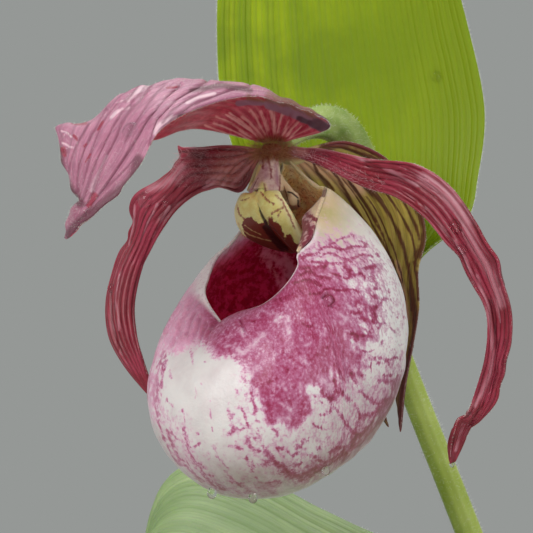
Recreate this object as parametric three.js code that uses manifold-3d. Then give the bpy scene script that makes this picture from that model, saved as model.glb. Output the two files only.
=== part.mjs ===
// A potted lady's slipper orchid: one stem with pleated leaves and a single open slipper flower,
// standing in gritty soil in a plain clay pot. Millimetres, +Z up, origin under the pot's centre.
import * as THREE from "three";
import { mergeVertices } from "three/addons/utils/BufferGeometryUtils.js";
import Module from "manifold-3d";

const V = THREE.Vector3;

// Pot and soil
const POT_HEIGHT = 130;
const POT_RIM_RADIUS = 75;
const POT_FOOT_RADIUS = 50;
const POT_WALL = 6;
const SOIL_LEVEL = 115;
const DRAIN_RADIUS = 5;
const DRAIN_RING = 28;

// Stem: upright at the soil, leaning more and more to -X as it rises, with a sway under the bract
const STEM_HEIGHT = 226;
const STEM_BASE_RADIUS = 3;
const STEM_TOP_RADIUS = 2.2;
const STEM_LEAN = 0.4;
const STEM_LEAN_SPAN = 240;
const STEM_SWAY = 2.1;
const STEM_SWAY_FROM = 158;
const STEM_SWAY_OVER = 56;
const STEM_DEPTH_IN_SOIL = 24;

// Sheet thicknesses
const LEAF_HALF = 0.4;
const TEPAL_HALF = 0.4;
const LIP_WALL = 1;

// Middle of a leaf sheath stands off the stem's surface by this much
const SHEATH_CLEARANCE = 1;

// The flower is modelled about a point in its middle, and turned this far to the viewer's left
const FLOWER_AT = new V(-64, -34, 345);
const FACING = THREE.MathUtils.degToRad(35);

// A smooth curve through points, and the same for plain numbers at equal steps.
function curve(points, closed = false) {
  return new THREE.CatmullRomCurve3(
    points.map((p) => new V(...p)),
    closed,
    "catmullrom",
    0.5,
  );
}

function along(values, s) {
  const last = values.length - 1;
  const x = Math.min(Math.max(s, 0), 1) * last;
  const i = Math.min(Math.floor(x), last - 1);
  const f = x - i;
  const b = values[i];
  const c = values[i + 1];
  const a = i > 0 ? values[i - 1] : 2 * b - c;
  const d = i + 2 <= last ? values[i + 2] : 2 * c - b;
  const p = (c - a) / 2;
  const q = (d - b) / 2;
  return (
    b + p * f + (3 * (c - b) - 2 * p - q) * f * f + (2 * (b - c) + p + q) * f * f * f
  );
}

// Seeded bumps, so that the soil is the same every time.
function hash(i, j) {
  const x = Math.sin(i * 127.1 + j * 311.7 + 17.3) * 43758.5453;
  return x - Math.floor(x);
}

// A geometry from points and triangles, turned inside out if its volume comes out negative.
function solid(points, faces) {
  let volume = 0;
  for (const [a, b, c] of faces) {
    volume += points[a].dot(new V().crossVectors(points[b], points[c]));
  }
  const index = [];
  for (const [a, b, c] of faces) {
    index.push(a, volume < 0 ? c : b, volume < 0 ? b : c);
  }
  const geometry = new THREE.BufferGeometry();
  geometry.setAttribute(
    "position",
    new THREE.Float32BufferAttribute(
      points.flatMap((p) => [p.x, p.y, p.z]),
      3,
    ),
  );
  geometry.setIndex(index);
  geometry.computeVertexNormals();
  return geometry;
}

// A closed sheet about the middle surface point(s, t), both faces split into the same triangles.
function sheet(point, half, ns, nt) {
  const mid = [];
  for (let i = 0; i <= ns; i++) {
    for (let j = 0; j <= nt; j++) mid.push(point(i / ns, j / nt));
  }
  const at = (i, j) => mid[i * (nt + 1) + j];
  const points = [];
  for (const sign of [1, -1]) {
    for (let i = 0; i <= ns; i++) {
      for (let j = 0; j <= nt; j++) {
        const ds = new V().subVectors(at(Math.min(i + 1, ns), j), at(Math.max(i - 1, 0), j));
        const dt = new V().subVectors(at(i, Math.min(j + 1, nt)), at(i, Math.max(j - 1, 0)));
        const normal = new V().crossVectors(ds, dt).normalize();
        points.push(at(i, j).clone().addScaledVector(normal, sign * half));
      }
    }
  }
  const n = (ns + 1) * (nt + 1);
  const id = (k, i, j) => k * n + i * (nt + 1) + j;
  const faces = [];
  for (let i = 0; i < ns; i++) {
    for (let j = 0; j < nt; j++) {
      const q = [id(0, i, j), id(0, i + 1, j), id(0, i + 1, j + 1), id(0, i, j + 1)];
      faces.push([q[0], q[1], q[2]], [q[0], q[2], q[3]]);
      faces.push([q[0] + n, q[2] + n, q[1] + n], [q[0] + n, q[3] + n, q[2] + n]);
    }
  }
  const ring = [];
  for (let j = 0; j < nt; j++) ring.push([0, j]);
  for (let i = 0; i < ns; i++) ring.push([i, nt]);
  for (let j = nt; j > 0; j--) ring.push([ns, j]);
  for (let i = ns; i > 0; i--) ring.push([i, 0]);
  ring.forEach(([i, j], k) => {
    const [i2, j2] = ring[(k + 1) % ring.length];
    const a = id(0, i, j);
    const b = id(0, i2, j2);
    faces.push([a, b, b + n], [a, b + n, a + n]);
  });
  return solid(points, faces);
}

// A sheet surface held by three curves: its two margins and its middle line.
function ribbon(left, middle, right) {
  const [l, m, r] = [left, middle, right].map((points) => curve(points));
  return (s, t) =>
    new V()
      .addScaledVector(l.getPoint(s), (2 * t - 1) * (t - 1))
      .addScaledVector(m.getPoint(s), 4 * t * (1 - t))
      .addScaledVector(r.getPoint(s), t * (2 * t - 1));
}

// A round, tapering rod along a path, squashed across by the factor flat.
function rod(path, radii, rings, sides, flat = 1) {
  const points = [];
  const faces = [];
  for (let i = 0; i <= rings; i++) {
    const c = path.getPoint(i / rings);
    const tangent = path.getTangent(i / rings);
    const u = new V(0, 1, 0).addScaledVector(tangent, -tangent.y).normalize();
    const v = new V().crossVectors(tangent, u);
    const r = along(radii, i / rings);
    for (let j = 0; j < sides; j++) {
      const a = (2 * Math.PI * j) / sides;
      points.push(
        c
          .clone()
          .addScaledVector(u, r * flat * Math.cos(a))
          .addScaledVector(v, r * Math.sin(a)),
      );
    }
  }
  for (let i = 0; i < rings; i++) {
    for (let j = 0; j < sides; j++) {
      const a = i * sides + j;
      const b = i * sides + ((j + 1) % sides);
      faces.push([a, b, b + sides], [a, b + sides, a + sides]);
    }
  }
  const first = points.push(path.getPoint(0)) - 1;
  const last = points.push(path.getPoint(1)) - 1;
  for (let j = 0; j < sides; j++) {
    const k = (j + 1) % sides;
    faces.push([first, k, j], [last, rings * sides + j, rings * sides + k]);
  }
  return solid(points, faces);
}

// Solids joined or cut as exact bodies.
const wasm = await Module();
wasm.setup();

function body(geometry) {
  const plain = geometry.clone();
  plain.deleteAttribute("normal");
  plain.deleteAttribute("uv");
  const merged = mergeVertices(plain, 1e-4);
  return new wasm.Manifold(
    new wasm.Mesh({
      numProp: 3,
      vertProperties: merged.attributes.position.array,
      triVerts: new Uint32Array(merged.index.array),
    }),
  );
}

function geometryOf(manifold) {
  const mesh = manifold.getMesh();
  const geometry = new THREE.BufferGeometry();
  geometry.setAttribute("position", new THREE.BufferAttribute(mesh.vertProperties, 3));
  geometry.setIndex(new THREE.BufferAttribute(mesh.triVerts, 1));
  geometry.computeVertexNormals();
  return geometry;
}

// Centre of the stem at height z
function stemAt(z) {
  const h = Math.max(z - SOIL_LEVEL, 0);
  const k = Math.min(Math.max((h - STEM_SWAY_FROM) / STEM_SWAY_OVER, 0), 1);
  const lean = (STEM_LEAN * h ** 3) / (h * h + STEM_LEAN_SPAN ** 2);
  return new V(-lean - STEM_SWAY * k * k * (3 - 2 * k), 0, z);
}

// Clay pot: tapered wall, thicker rim band, three drain holes in the floor
function potGeometry() {
  const inner = POT_RIM_RADIUS - 9;
  const profile = [
    [0, 0],
    [POT_FOOT_RADIUS - 2, 0],
    [POT_FOOT_RADIUS, 2],
    [POT_RIM_RADIUS - 6, POT_HEIGHT - 26],
    [POT_RIM_RADIUS - 1.5, POT_HEIGHT - 25],
    [POT_RIM_RADIUS, POT_HEIGHT - 23],
    [POT_RIM_RADIUS, POT_HEIGHT - 2],
    [POT_RIM_RADIUS - 2, POT_HEIGHT],
    [POT_RIM_RADIUS - 6, POT_HEIGHT],
    [inner + 1, POT_HEIGHT - 3],
    [POT_FOOT_RADIUS - POT_WALL, 7],
    [0, 7],
  ];
  const lathe = new THREE.LatheGeometry(
    profile.map(([x, y]) => new THREE.Vector2(x, y)),
    40,
  );
  lathe.rotateX(Math.PI / 2);
  let pot = body(lathe);
  for (const turn of [90, 210, 330]) {
    const a = THREE.MathUtils.degToRad(turn);
    const drill = new THREE.CylinderGeometry(DRAIN_RADIUS, DRAIN_RADIUS, 20, 16);
    drill.rotateX(Math.PI / 2);
    drill.translate(DRAIN_RING * Math.cos(a), DRAIN_RING * Math.sin(a), 3);
    pot = pot.subtract(body(drill));
  }
  return geometryOf(pot);
}

// Gritty soil filling the pot, its surface uneven, with a hole for the stem
function soilGeometry() {
  const turns = 32;
  const wallAt = (z) => {
    const foot = POT_FOOT_RADIUS - POT_WALL;
    return foot + ((POT_RIM_RADIUS - 8 - foot) * (z - 7)) / (POT_HEIGHT - 10) - 0.4;
  };
  const hole = STEM_BASE_RADIUS + 0.3;
  const rings = [
    [hole, SOIL_LEVEL - STEM_DEPTH_IN_SOIL, 0],
    [hole, SOIL_LEVEL, 0.2],
    [9, SOIL_LEVEL, 0.8],
    [17, SOIL_LEVEL - 0.3, 1.6],
    [26, SOIL_LEVEL - 0.5, 2],
    [35, SOIL_LEVEL - 0.6, 2],
    [44, SOIL_LEVEL - 0.7, 2],
    [53, SOIL_LEVEL - 1, 1.8],
    [wallAt(SOIL_LEVEL - 2.5), SOIL_LEVEL - 2.5, 1],
    [wallAt(60), 60, 0],
    [wallAt(7.4), 7.4, 0],
  ];
  const points = [];
  const faces = [];
  rings.forEach(([r, z, rough], i) => {
    for (let j = 0; j < turns; j++) {
      const a = (2 * Math.PI * (j + (i % 2 && rough > 0.5 ? 0.5 : 0))) / turns;
      const bump = rough * (hash(i, j) - 0.5);
      const side = rough > 0.5 && r < 60 ? (hash(j, i + 40) - 0.5) * 3 : 0;
      points.push(new V((r + side) * Math.cos(a), (r + side) * Math.sin(a), z + bump));
    }
  });
  for (let i = 0; i + 1 < rings.length; i++) {
    for (let j = 0; j < turns; j++) {
      const a = i * turns + j;
      const b = i * turns + ((j + 1) % turns);
      faces.push([a, b, b + turns], [a, b + turns, a + turns]);
    }
  }
  const top = points.push(new V(0, 0, rings[0][1])) - 1;
  const bottom = points.push(new V(0, 0, 7.4)) - 1;
  const lastRing = (rings.length - 1) * turns;
  for (let j = 0; j < turns; j++) {
    const k = (j + 1) % turns;
    faces.push([top, k, j], [bottom, lastRing + j, lastRing + k]);
  }
  return solid(points, faces);
}

// Radius of the stem at height z
function stemRadius(z) {
  const h = Math.min(Math.max(z - SOIL_LEVEL, 0) / STEM_HEIGHT, 1);
  return STEM_BASE_RADIUS + (STEM_TOP_RADIUS - STEM_BASE_RADIUS) * h;
}

function stemGeometry() {
  const heights = [-24, 0, 25, 50, 75, 100, 125, 150, 175, 200, STEM_HEIGHT];
  const path = curve(
    heights.map((h) => (h < 0 ? [0, 0, SOIL_LEVEL + 0.4 + h] : stemAt(SOIL_LEVEL + h).toArray())),
  );
  const radii = heights.map((h) => stemRadius(SOIL_LEVEL + h));
  return rod(path, radii, 20, 12);
}

// A leaf surface: stations run up the sheath, which wraps the stem, and out along the blade.
// Each station is [middle point, width across the curl, curl in degrees].
function leafSurface(stations, azimuth, tilt = 0) {
  const a = THREE.MathUtils.degToRad(azimuth);
  const side = new V(-Math.sin(a), Math.cos(a), tilt).normalize();
  const midrib = curve(stations.map(([p]) => p.toArray()));
  const widths = stations.map(([, w]) => w);
  const curls = stations.map(([, , c]) => THREE.MathUtils.degToRad(c));
  return (s, t) => {
    const inward = new V().crossVectors(midrib.getTangent(s), side).normalize();
    const curl = along(curls, s);
    const radius = along(widths, s) / curl;
    const angle = curl * (t - 0.5);
    return midrib
      .getPoint(s)
      .addScaledVector(side, radius * Math.sin(angle))
      .addScaledVector(inward, radius * (1 - Math.cos(angle)));
  };
}

// Stations for a leaf whose blade leaves the stem at height node towards azimuth.
function leafStations(node, sheath, azimuth, blade) {
  const a = THREE.MathUtils.degToRad(azimuth);
  const root = stemAt(node);
  const wrap = (z, curl) => {
    const r = stemRadius(z) + SHEATH_CLEARANCE;
    const middle = stemAt(z).add(new V(r * Math.cos(a), r * Math.sin(a), 0));
    return [middle, r * THREE.MathUtils.degToRad(curl), curl];
  };
  return [
    wrap(node - sheath, 322),
    wrap(node - sheath / 2, 322),
    wrap(node, 314),
    ...blade.map(([r, z, w, curl]) => [
      new V(root.x + r * Math.cos(a), r * Math.sin(a), node + z),
      w,
      curl,
    ]),
  ];
}

function blade(length, width, rise) {
  return [
    [6, length * 0.07 * rise, width * 0.4, 215],
    [length * 0.13, length * 0.16 * rise, width * 0.62, 130],
    [length * 0.28, length * 0.26 * rise, width * 0.86, 88],
    [length * 0.46, length * 0.3 * rise, width, 70],
    [length * 0.63, length * 0.26 * rise, width * 0.93, 62],
    [length * 0.77, length * 0.15 * rise, width * 0.68, 56],
    [length * 0.87, length * 0.01, width * 0.34, 50],
    [length * 0.92, length * -0.12, 2, 45],
  ];
}

const TOP_BLADE = [
  [6.2, 4.6, 24, 215],
  [13, 7, 33, 110],
  [26, 11.5, 42, 56],
  [38.5, 17, 49, 34],
  [50, 23, 53, 24],
  [60, 26.2, 52, 22],
  [66, 23, 46, 22],
  [68.4, 13, 33, 26],
  [69.4, 1, 17, 30],
  [69.8, -10, 2, 30],
];

// Upright bract behind the flower, its foot wrapped round the top of the stem
const BRACT = [
  [[22.7, 37.5, -13], 18, 322],
  [[20.7, 37.5, -6.5], 18.5, 310],
  [[19.7, 37.8, 0], 27, 200],
  [[19.1, 38.8, 7], 38.4, 104],
  [[17.2, 39.8, 16], 45.6, 78],
  [[15.8, 40.6, 28], 50, 64],
  [[14, 41, 42], 48, 58],
  [[12.3, 40.8, 56], 43, 56],
  [[10.3, 40, 68], 33, 50],
  [[8.5, 38.6, 78], 20, 45],
  [[7, 37.2, 86], 2, 40],
];

// Curved ovary on its short stalk, arching forward over the back of the flower
const OVARY = [
  [19.3, 34, -3],
  [19.7, 33.4, 5],
  [18.6, 31, 13],
  [16, 26.5, 20.8],
  [12, 20.5, 25],
  [7.4, 14.2, 24.9],
  [3.1, 8.6, 21.9],
];
const OVARY_RADII = [1.9, 2.1, 2.6, 3.1, 3.2, 2.6, 1.7];

// Hooded upper sepal: far margin, keel and near margin, from the base to the drooping tip
const HOOD_FAR = [
  [-0.6, 7, 21.3],
  [-10.8, 16, 24],
  [-15.1, 14, 23.7],
  [-20.1, 8, 21.8],
  [-26.6, 0, 23.2],
  [-33.8, -10, 23.4],
  [-33.8, -18, 19.5],
  [-31.5, -24, 13.5],
  [-32.6, -29.6, 4.7],
];
const HOOD_MID = [
  [1.3, 6, 21.5],
  [0.9, 5, 28],
  [-4.5, 1, 29.8],
  [-9.5, -4, 30],
  [-15.7, -11, 30.4],
  [-22.6, -21, 25.8],
  [-26.8, -27, 18.6],
  [-29.5, -30, 12],
  [-31.9, -31, 4.6],
];
const HOOD_NEAR = [
  [3.2, 5, 21.4],
  [10.7, -4, 23.5],
  [5.6, -8, 27],
  [-2.7, -13, 28.2],
  [-10.9, -20, 25.9],
  [-17, -30, 21.8],
  [-20.1, -33, 16.1],
  [-24.5, -34, 10.9],
  [-31.2, -32.4, 4.7],
];

// Petals: upper and outer margin, then lower and inner margin; the middle line bows between
const LEFT_OUTER = [
  [-0.7, 7.8, 20.3],
  [-5.5, 11, 20.9],
  [-10.7, 14, 20.9],
  [-15.6, 18, 20.4],
  [-18.8, 20, 15.6],
  [-23.3, 22, 12.2],
  [-24.5, 23, 6.5],
  [-27.3, 23, 0.1],
  [-28.7, 22, -5.9],
  [-27.7, 20, -12.1],
  [-24.3, 17.5, -17.7],
  [-20.9, 15.5, -22.3],
];
const LEFT_INNER = [
  [-1.1, 7.2, 18.6],
  [-3.2, 9.6, 14.6],
  [-7.2, 12, 13.3],
  [-11.6, 15, 12.8],
  [-15.6, 17, 10],
  [-18.4, 18, 6.4],
  [-20.6, 19, 2.6],
  [-22.1, 19, -1],
  [-23.2, 18, -6.8],
  [-22.7, 16.5, -12],
  [-21.4, 15.2, -16.7],
  [-20, 15.2, -21.9],
];
const RIGHT_OUTER = [
  [4, 6, 20.6],
  [10.8, 1, 19.7],
  [18.2, -6, 18],
  [24.6, -12, 16.8],
  [30.2, -16, 12.8],
  [34.9, -19, 6],
  [38.1, -20, -0.6],
  [40.1, -20, -7.4],
  [39.6, -18, -14.5],
  [37.6, -16, -21.2],
  [34, -13, -25.4],
  [32.5, -13, -29.2],
  [31, -13.5, -32.4],
];
const RIGHT_INNER = [
  [3.6, 5.6, 19.4],
  [8.8, 0.4, 17.1],
  [16.1, -5, 13.4],
  [21.4, -10, 11.7],
  [26.2, -14, 8.2],
  [29.8, -17, 3.2],
  [33.4, -18, -2.7],
  [35.8, -18, -7.9],
  [36, -17, -15],
  [34.6, -15.5, -21.2],
  [31.9, -16, -25],
  [30, -15, -28.6],
  [30.4, -14, -32.6],
];

// Middle line between two margins, pushed off their chord by [x, y, z].
function bowed(a, b, push) {
  return a.map((p, i) => p.map((x, k) => (x + b[i][k]) / 2 + push[k] * Math.sin((Math.PI * i) / (a.length - 1))));
}

// Two lower sepals grown into one, cupped behind the slipper
const LOWER_RIGHT = [
  [6.2, 11.8, 20.2],
  [13.7, 15, 21.9],
  [20.8, 17, 19.2],
  [26.1, 18, 13.1],
  [28, 17, 5.5],
  [26.6, 16, -0.5],
  [26.7, 15.5, -7],
  [25.6, 15, -14],
  [24.2, 14.4, -21],
  [23.4, 14.2, -28.9],
];
const LOWER_MID = [
  [5, 12.2, 19.4],
  [8.6, 17.6, 18.6],
  [13, 22, 15],
  [17, 24.6, 9],
  [18.8, 25.4, 2],
  [19.2, 25, -5],
  [20, 23.6, -11],
  [20.8, 21, -17],
  [21.6, 18, -23],
  [22.4, 15.6, -28.6],
];
const LOWER_LEFT = [
  [3.4, 12.4, 18.8],
  [1.6, 18.6, 17.4],
  [0.4, 22.8, 13.4],
  [1.6, 26.4, 7],
  [4.4, 28.4, 0],
  [7, 28.8, -7],
  [10.4, 28.6, -13],
  [14.4, 25.4, -18.4],
  [18.4, 20.6, -23.6],
  [21.4, 17, -28.2],
];

// Slipper: an egg-shaped pouch drawn up behind into its foot, with the mouth on top
const LIP_CENTRE = new V(2, 1, -16.5);
const LIP_RADII = [26.4, 19.2, 21.3];
const LIP_TILT = THREE.MathUtils.degToRad(40);
const MOUTH_AXIS = new V(-3.3, -2, 19.7).normalize();
const MOUTH = [
  [3.2, 8.9, 19.5],
  [6.3, 7.4, 16.3],
  [8.5, 4, 14.2],
  [10.1, 1, 13.5],
  [8.7, -4, 8.7],
  [7.6, -8, 4.8],
  [5.2, -11, 2.4],
  [4.9, -12.5, 0.1],
  [2.7, -13, -3.1],
  [-0.7, -12, -5.9],
  [-4.4, -9, -7.1],
  [-7.7, -7, -8.1],
  [-10.5, -2.6, -4.4],
  [-10.2, 2, -1.5],
  [-8.9, 6, 2],
  [-6.3, 9, 4.6],
  [-3.7, 11, 8],
  [-0.8, 12, 12.4],
  [2.4, 11.6, 16.8],
];

function lipRadius(d) {
  const forward = -Math.sin(FACING) * d.x - Math.cos(FACING) * d.y;
  const lateral = Math.cos(FACING) * d.x - Math.sin(FACING) * d.y;
  const long = forward * Math.cos(LIP_TILT) - d.z * Math.sin(LIP_TILT);
  const short = forward * Math.sin(LIP_TILT) + d.z * Math.cos(LIP_TILT);
  return 1 / Math.hypot(long / LIP_RADII[0], short / LIP_RADII[1], lateral / LIP_RADII[2]);
}

const mouthCurve = curve(MOUTH, true);

// Outside of the slipper: u runs round the mouth, s from the mouth's rim to the lowest point.
function lipPoint(u, s) {
  const rim = mouthCurve.getPoint(u);
  const d = new V().subVectors(rim, LIP_CENTRE).normalize();
  const start = Math.acos(d.dot(MOUTH_AXIS));
  const across = d.clone().addScaledVector(MOUTH_AXIS, -d.dot(MOUTH_AXIS)).normalize();
  const turn = start + (Math.PI - start) * s;
  const ray = new V().addScaledVector(MOUTH_AXIS, Math.cos(turn)).addScaledVector(across, Math.sin(turn));
  const drawn = rim.clone().sub(LIP_CENTRE).addScaledVector(d, -lipRadius(d));
  const fade = Math.max(0, 1 - s / 0.55) ** 2.3;
  return LIP_CENTRE.clone().addScaledVector(ray, lipRadius(ray)).addScaledVector(drawn, fade);
}

function lipGeometry() {
  const nu = 36;
  const ns = 14;
  const outer = [];
  const inner = [];
  for (let i = 0; i < ns; i++) {
    const s = (i / ns) * 0.97;
    for (let j = 0; j < nu; j++) {
      const u = j / nu;
      const du = new V().subVectors(lipPoint((u + 0.01) % 1, s), lipPoint((u + 0.99) % 1, s));
      const ds = new V().subVectors(lipPoint(u, s + 0.01), lipPoint(u, Math.max(s - 0.01, 0)));
      const normal = new V().crossVectors(du, ds).normalize();
      const p = lipPoint(u, s);
      if (normal.dot(new V().subVectors(p, LIP_CENTRE)) < 0) normal.negate();
      outer.push(p);
      inner.push(p.clone().addScaledVector(normal, -LIP_WALL));
    }
  }
  const pole = lipPoint(0, 1);
  const points = [...outer, ...inner, pole, pole.clone().addScaledVector(MOUTH_AXIS, LIP_WALL)];
  const n = nu * ns;
  const faces = [];
  for (let j = 0; j < nu; j++) {
    const k = (j + 1) % nu;
    for (let i = 0; i + 1 < ns; i++) {
      const q = [i * nu + j, (i + 1) * nu + j, (i + 1) * nu + k, i * nu + k];
      faces.push([q[0], q[1], q[2]], [q[0], q[2], q[3]]);
      faces.push([q[0] + n, q[2] + n, q[1] + n], [q[0] + n, q[3] + n, q[2] + n]);
    }
    const e = (ns - 1) * nu;
    faces.push([e + j, 2 * n, e + k], [e + j + n, e + k + n, 2 * n + 1]);
    faces.push([k, k + n, j + n], [k, j + n, j]);
  }
  return solid(points, faces);
}

// Column with its flat stigma and two anthers, joined in one body
function columnGeometry() {
  const trunk = rod(
    curve([
      [1.9, 7, 20.6],
      [1, 5.8, 17],
      [0, 4.8, 13.1],
    ]),
    [1.9, 2.1, 2.6],
    3,
    10,
    0.85,
  );
  const lump = (x, y, z, rx, ry, rz) => {
    const ball = new THREE.SphereGeometry(1, 8, 6);
    ball.scale(rx, ry, rz);
    ball.translate(x, y, z);
    return body(ball);
  };
  const stalk = rod(
    curve([
      [1, 6, 16],
      [2.4, 6.8, 13.6],
      [3.4, 7.2, 11.4],
    ]),
    [1.3, 1.3, 1.3],
    3,
    10,
  );
  const nearArm = rod(
    curve([
      [1, 5.6, 15.6],
      [3.4, 5, 13.4],
      [4.8, 4.8, 11.6],
    ]),
    [0.9, 0.9, 0.9],
    3,
    8,
  );
  return geometryOf(
    body(trunk)
      .add(body(stalk))
      .add(body(nearArm))
      .add(lump(3.8, 7.3, 10.6, 2.4, 2.2, 1))
      .add(lump(5, 4.7, 11, 1.3, 1.2, 1.6))
      .add(lump(-1.2, 8, 12.8, 1.3, 1.2, 1.6))
      .add(lump(-0.2, 7, 14, 1.4, 1.2, 1.2)),
  );
}

// Staminode: the shield over the mouth, hung from the end of the column
const SHIELD_FAR = [
  [-2, 5, 12.4],
  [-4.8, 6.6, 10.9],
  [-5.3, 7.2, 8.6],
  [-3.9, 7.8, 5.6],
  [0.3, 8.2, 3.4],
  [4.6, 8.2, 2.6],
];
const SHIELD_MID = [
  [-0.6, 3.8, 12.6],
  [-1.4, 3.2, 11],
  [-0.6, 3.4, 8.8],
  [1.2, 4.2, 6.4],
  [3.2, 5.8, 4.2],
  [5.1, 7.5, 2.6],
];
const SHIELD_NEAR = [
  [0.9, 3, 12.4],
  [2.8, 1.8, 11.6],
  [4.1, 1.2, 9.6],
  [5.4, 1.4, 7],
  [6.5, 3, 4.4],
  [5.7, 6.8, 2.5],
];

// Finishes
const clay = new THREE.MeshStandardMaterial({ color: 0xb5714f, roughness: 0.9, metalness: 0 });
const earth = new THREE.MeshStandardMaterial({ color: 0x4a3a2c, roughness: 1, metalness: 0 });
const stalkGreen = new THREE.MeshStandardMaterial({ color: 0x96ae4e, roughness: 0.6, metalness: 0 });
const leafGreen = new THREE.MeshStandardMaterial({ color: 0x86a63a, roughness: 0.55, metalness: 0 });
const hoodPink = new THREE.MeshStandardMaterial({ color: 0xb98196, roughness: 0.5, metalness: 0 });
const petalRed = new THREE.MeshStandardMaterial({ color: 0x8a2a44, roughness: 0.45, metalness: 0 });
const sepalOlive = new THREE.MeshStandardMaterial({ color: 0x96893e, roughness: 0.55, metalness: 0 });
const lipPink = new THREE.MeshStandardMaterial({ color: 0xcf8fa9, roughness: 0.4, metalness: 0 });
const columnCream = new THREE.MeshStandardMaterial({ color: 0xd8c0b4, roughness: 0.5, metalness: 0 });
const shieldYellow = new THREE.MeshStandardMaterial({ color: 0xd7cd6e, roughness: 0.4, metalness: 0 });

function named(name, geometry, material) {
  const mesh = new THREE.Mesh(geometry, material);
  mesh.name = name;
  return mesh;
}

const plant = new THREE.Group();
plant.add(named("pot", potGeometry(), clay));
plant.add(named("soil", soilGeometry(), earth));
plant.add(named("stem", stemGeometry(), stalkGreen));

const lowSheath = [
  [new V(0, 4, SOIL_LEVEL + 1), 22, 322],
  [new V(0, 4, SOIL_LEVEL + 7), 22, 318],
  [new V(0, 4.4, SOIL_LEVEL + 13), 20, 240],
  [new V(0, 5.6, SOIL_LEVEL + 19), 12, 140],
  [new V(0, 7.4, SOIL_LEVEL + 24), 3, 60],
];
plant.add(named("sheath_low", sheet(leafSurface(lowSheath, 90), LEAF_HALF, 8, 12), stalkGreen));

const leaves = [
  ["leaf_1", 160, 17, 48, 0, blade(132, 64, 1)],
  ["leaf_2", 194, 24, 214, 0, blade(150, 76, 1.02)],
  ["leaf_3", 233, 27, -38, 0, blade(142, 74, 0.92)],
  ["leaf_4", 273, 27, 174, -0.24, TOP_BLADE],
];
for (const [name, node, sheath, azimuth, tilt, shape] of leaves) {
  const surface = leafSurface(leafStations(node, sheath, azimuth, shape), azimuth, tilt);
  plant.add(named(name, sheet(surface, LEAF_HALF, 22, 10), leafGreen));
}

const flower = new THREE.Group();
flower.position.copy(FLOWER_AT);
plant.add(flower);
const bractSurface = leafSurface(
  BRACT.map(([p, w, c]) => [new V(...p), w, c]),
  90,
);
flower.add(named("bract", sheet(bractSurface, LEAF_HALF, 22, 10), leafGreen));
flower.add(named("ovary", rod(curve(OVARY), OVARY_RADII, 18, 12), stalkGreen));
flower.add(
  named("dorsal_sepal", sheet(ribbon(HOOD_FAR, HOOD_MID, HOOD_NEAR), TEPAL_HALF, 20, 10), hoodPink),
);
flower.add(
  named(
    "petal_left",
    sheet(ribbon(LEFT_OUTER, bowed(LEFT_OUTER, LEFT_INNER, [0, -1.5, 0]), LEFT_INNER), TEPAL_HALF, 26, 6),
    petalRed,
  ),
);
flower.add(
  named(
    "petal_right",
    sheet(ribbon(RIGHT_OUTER, bowed(RIGHT_OUTER, RIGHT_INNER, [0, 1.5, 0]), RIGHT_INNER), TEPAL_HALF, 28, 6),
    petalRed,
  ),
);
flower.add(
  named("synsepal", sheet(ribbon(LOWER_LEFT, LOWER_MID, LOWER_RIGHT), TEPAL_HALF, 18, 10), sepalOlive),
);
flower.add(named("lip", lipGeometry(), lipPink));
flower.add(named("column", columnGeometry(), columnCream));
flower.add(
  named("staminode", sheet(ribbon(SHIELD_FAR, SHIELD_MID, SHIELD_NEAR), 0.45, 10, 8), shieldYellow),
);

export default plant;
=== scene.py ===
# A lady's slipper orchid in a clay pot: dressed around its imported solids, in metres, +Z up.
import math

import bpy
import numpy as np
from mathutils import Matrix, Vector
from mathutils.bvhtree import BVHTree


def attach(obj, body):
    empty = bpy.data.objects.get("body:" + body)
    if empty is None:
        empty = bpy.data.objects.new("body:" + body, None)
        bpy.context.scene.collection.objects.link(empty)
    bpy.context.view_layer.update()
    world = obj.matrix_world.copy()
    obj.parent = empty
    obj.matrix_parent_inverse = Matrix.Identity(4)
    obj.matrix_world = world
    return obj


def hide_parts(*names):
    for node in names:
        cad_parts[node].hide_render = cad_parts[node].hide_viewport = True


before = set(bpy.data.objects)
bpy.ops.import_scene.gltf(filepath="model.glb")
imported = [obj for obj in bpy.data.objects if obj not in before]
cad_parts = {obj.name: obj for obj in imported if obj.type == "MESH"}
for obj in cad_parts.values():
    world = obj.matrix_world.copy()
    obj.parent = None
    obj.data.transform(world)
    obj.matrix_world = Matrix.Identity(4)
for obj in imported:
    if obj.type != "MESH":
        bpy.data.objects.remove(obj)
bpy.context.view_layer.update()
MM = 0.001

# Camera: level with the bloom and half a metre in front of it, through a long lens,
# so that drops hang straight down and the frame is about 90 mm wide at the flower.
FLOWER = np.array([-64.0, -34.0, 345.0])
CAMERA_DISTANCE = 503.0
camera_data = bpy.data.cameras.new("photo_camera")
camera_data.lens = 200.0
camera_data.sensor_width = 36.0
camera_data.clip_start = 0.05
camera_data.clip_end = 50.0
camera = bpy.data.objects.new("photo_camera", camera_data)
bpy.context.scene.collection.objects.link(camera)
camera.location = Vector((FLOWER + [0, -CAMERA_DISTANCE, 0]) * MM)
camera.rotation_euler = (math.pi / 2, 0, 0)
bpy.context.scene.camera = camera
bpy.context.scene.view_settings.view_transform = "Standard"


# Studio: a pale floor, a plain grey surround like the photograph's backdrop, and broad soft
# lamps, the strongest above and to the viewer's left.
def linear(colour):
    """sRGB hex to the linear colour that Blender's sockets take."""
    parts = [int(colour[i : i + 2], 16) / 255 for i in (1, 3, 5)]
    return [c / 12.92 if c <= 0.04045 else ((c + 0.055) / 1.055) ** 2.4 for c in parts] + [1.0]


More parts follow.
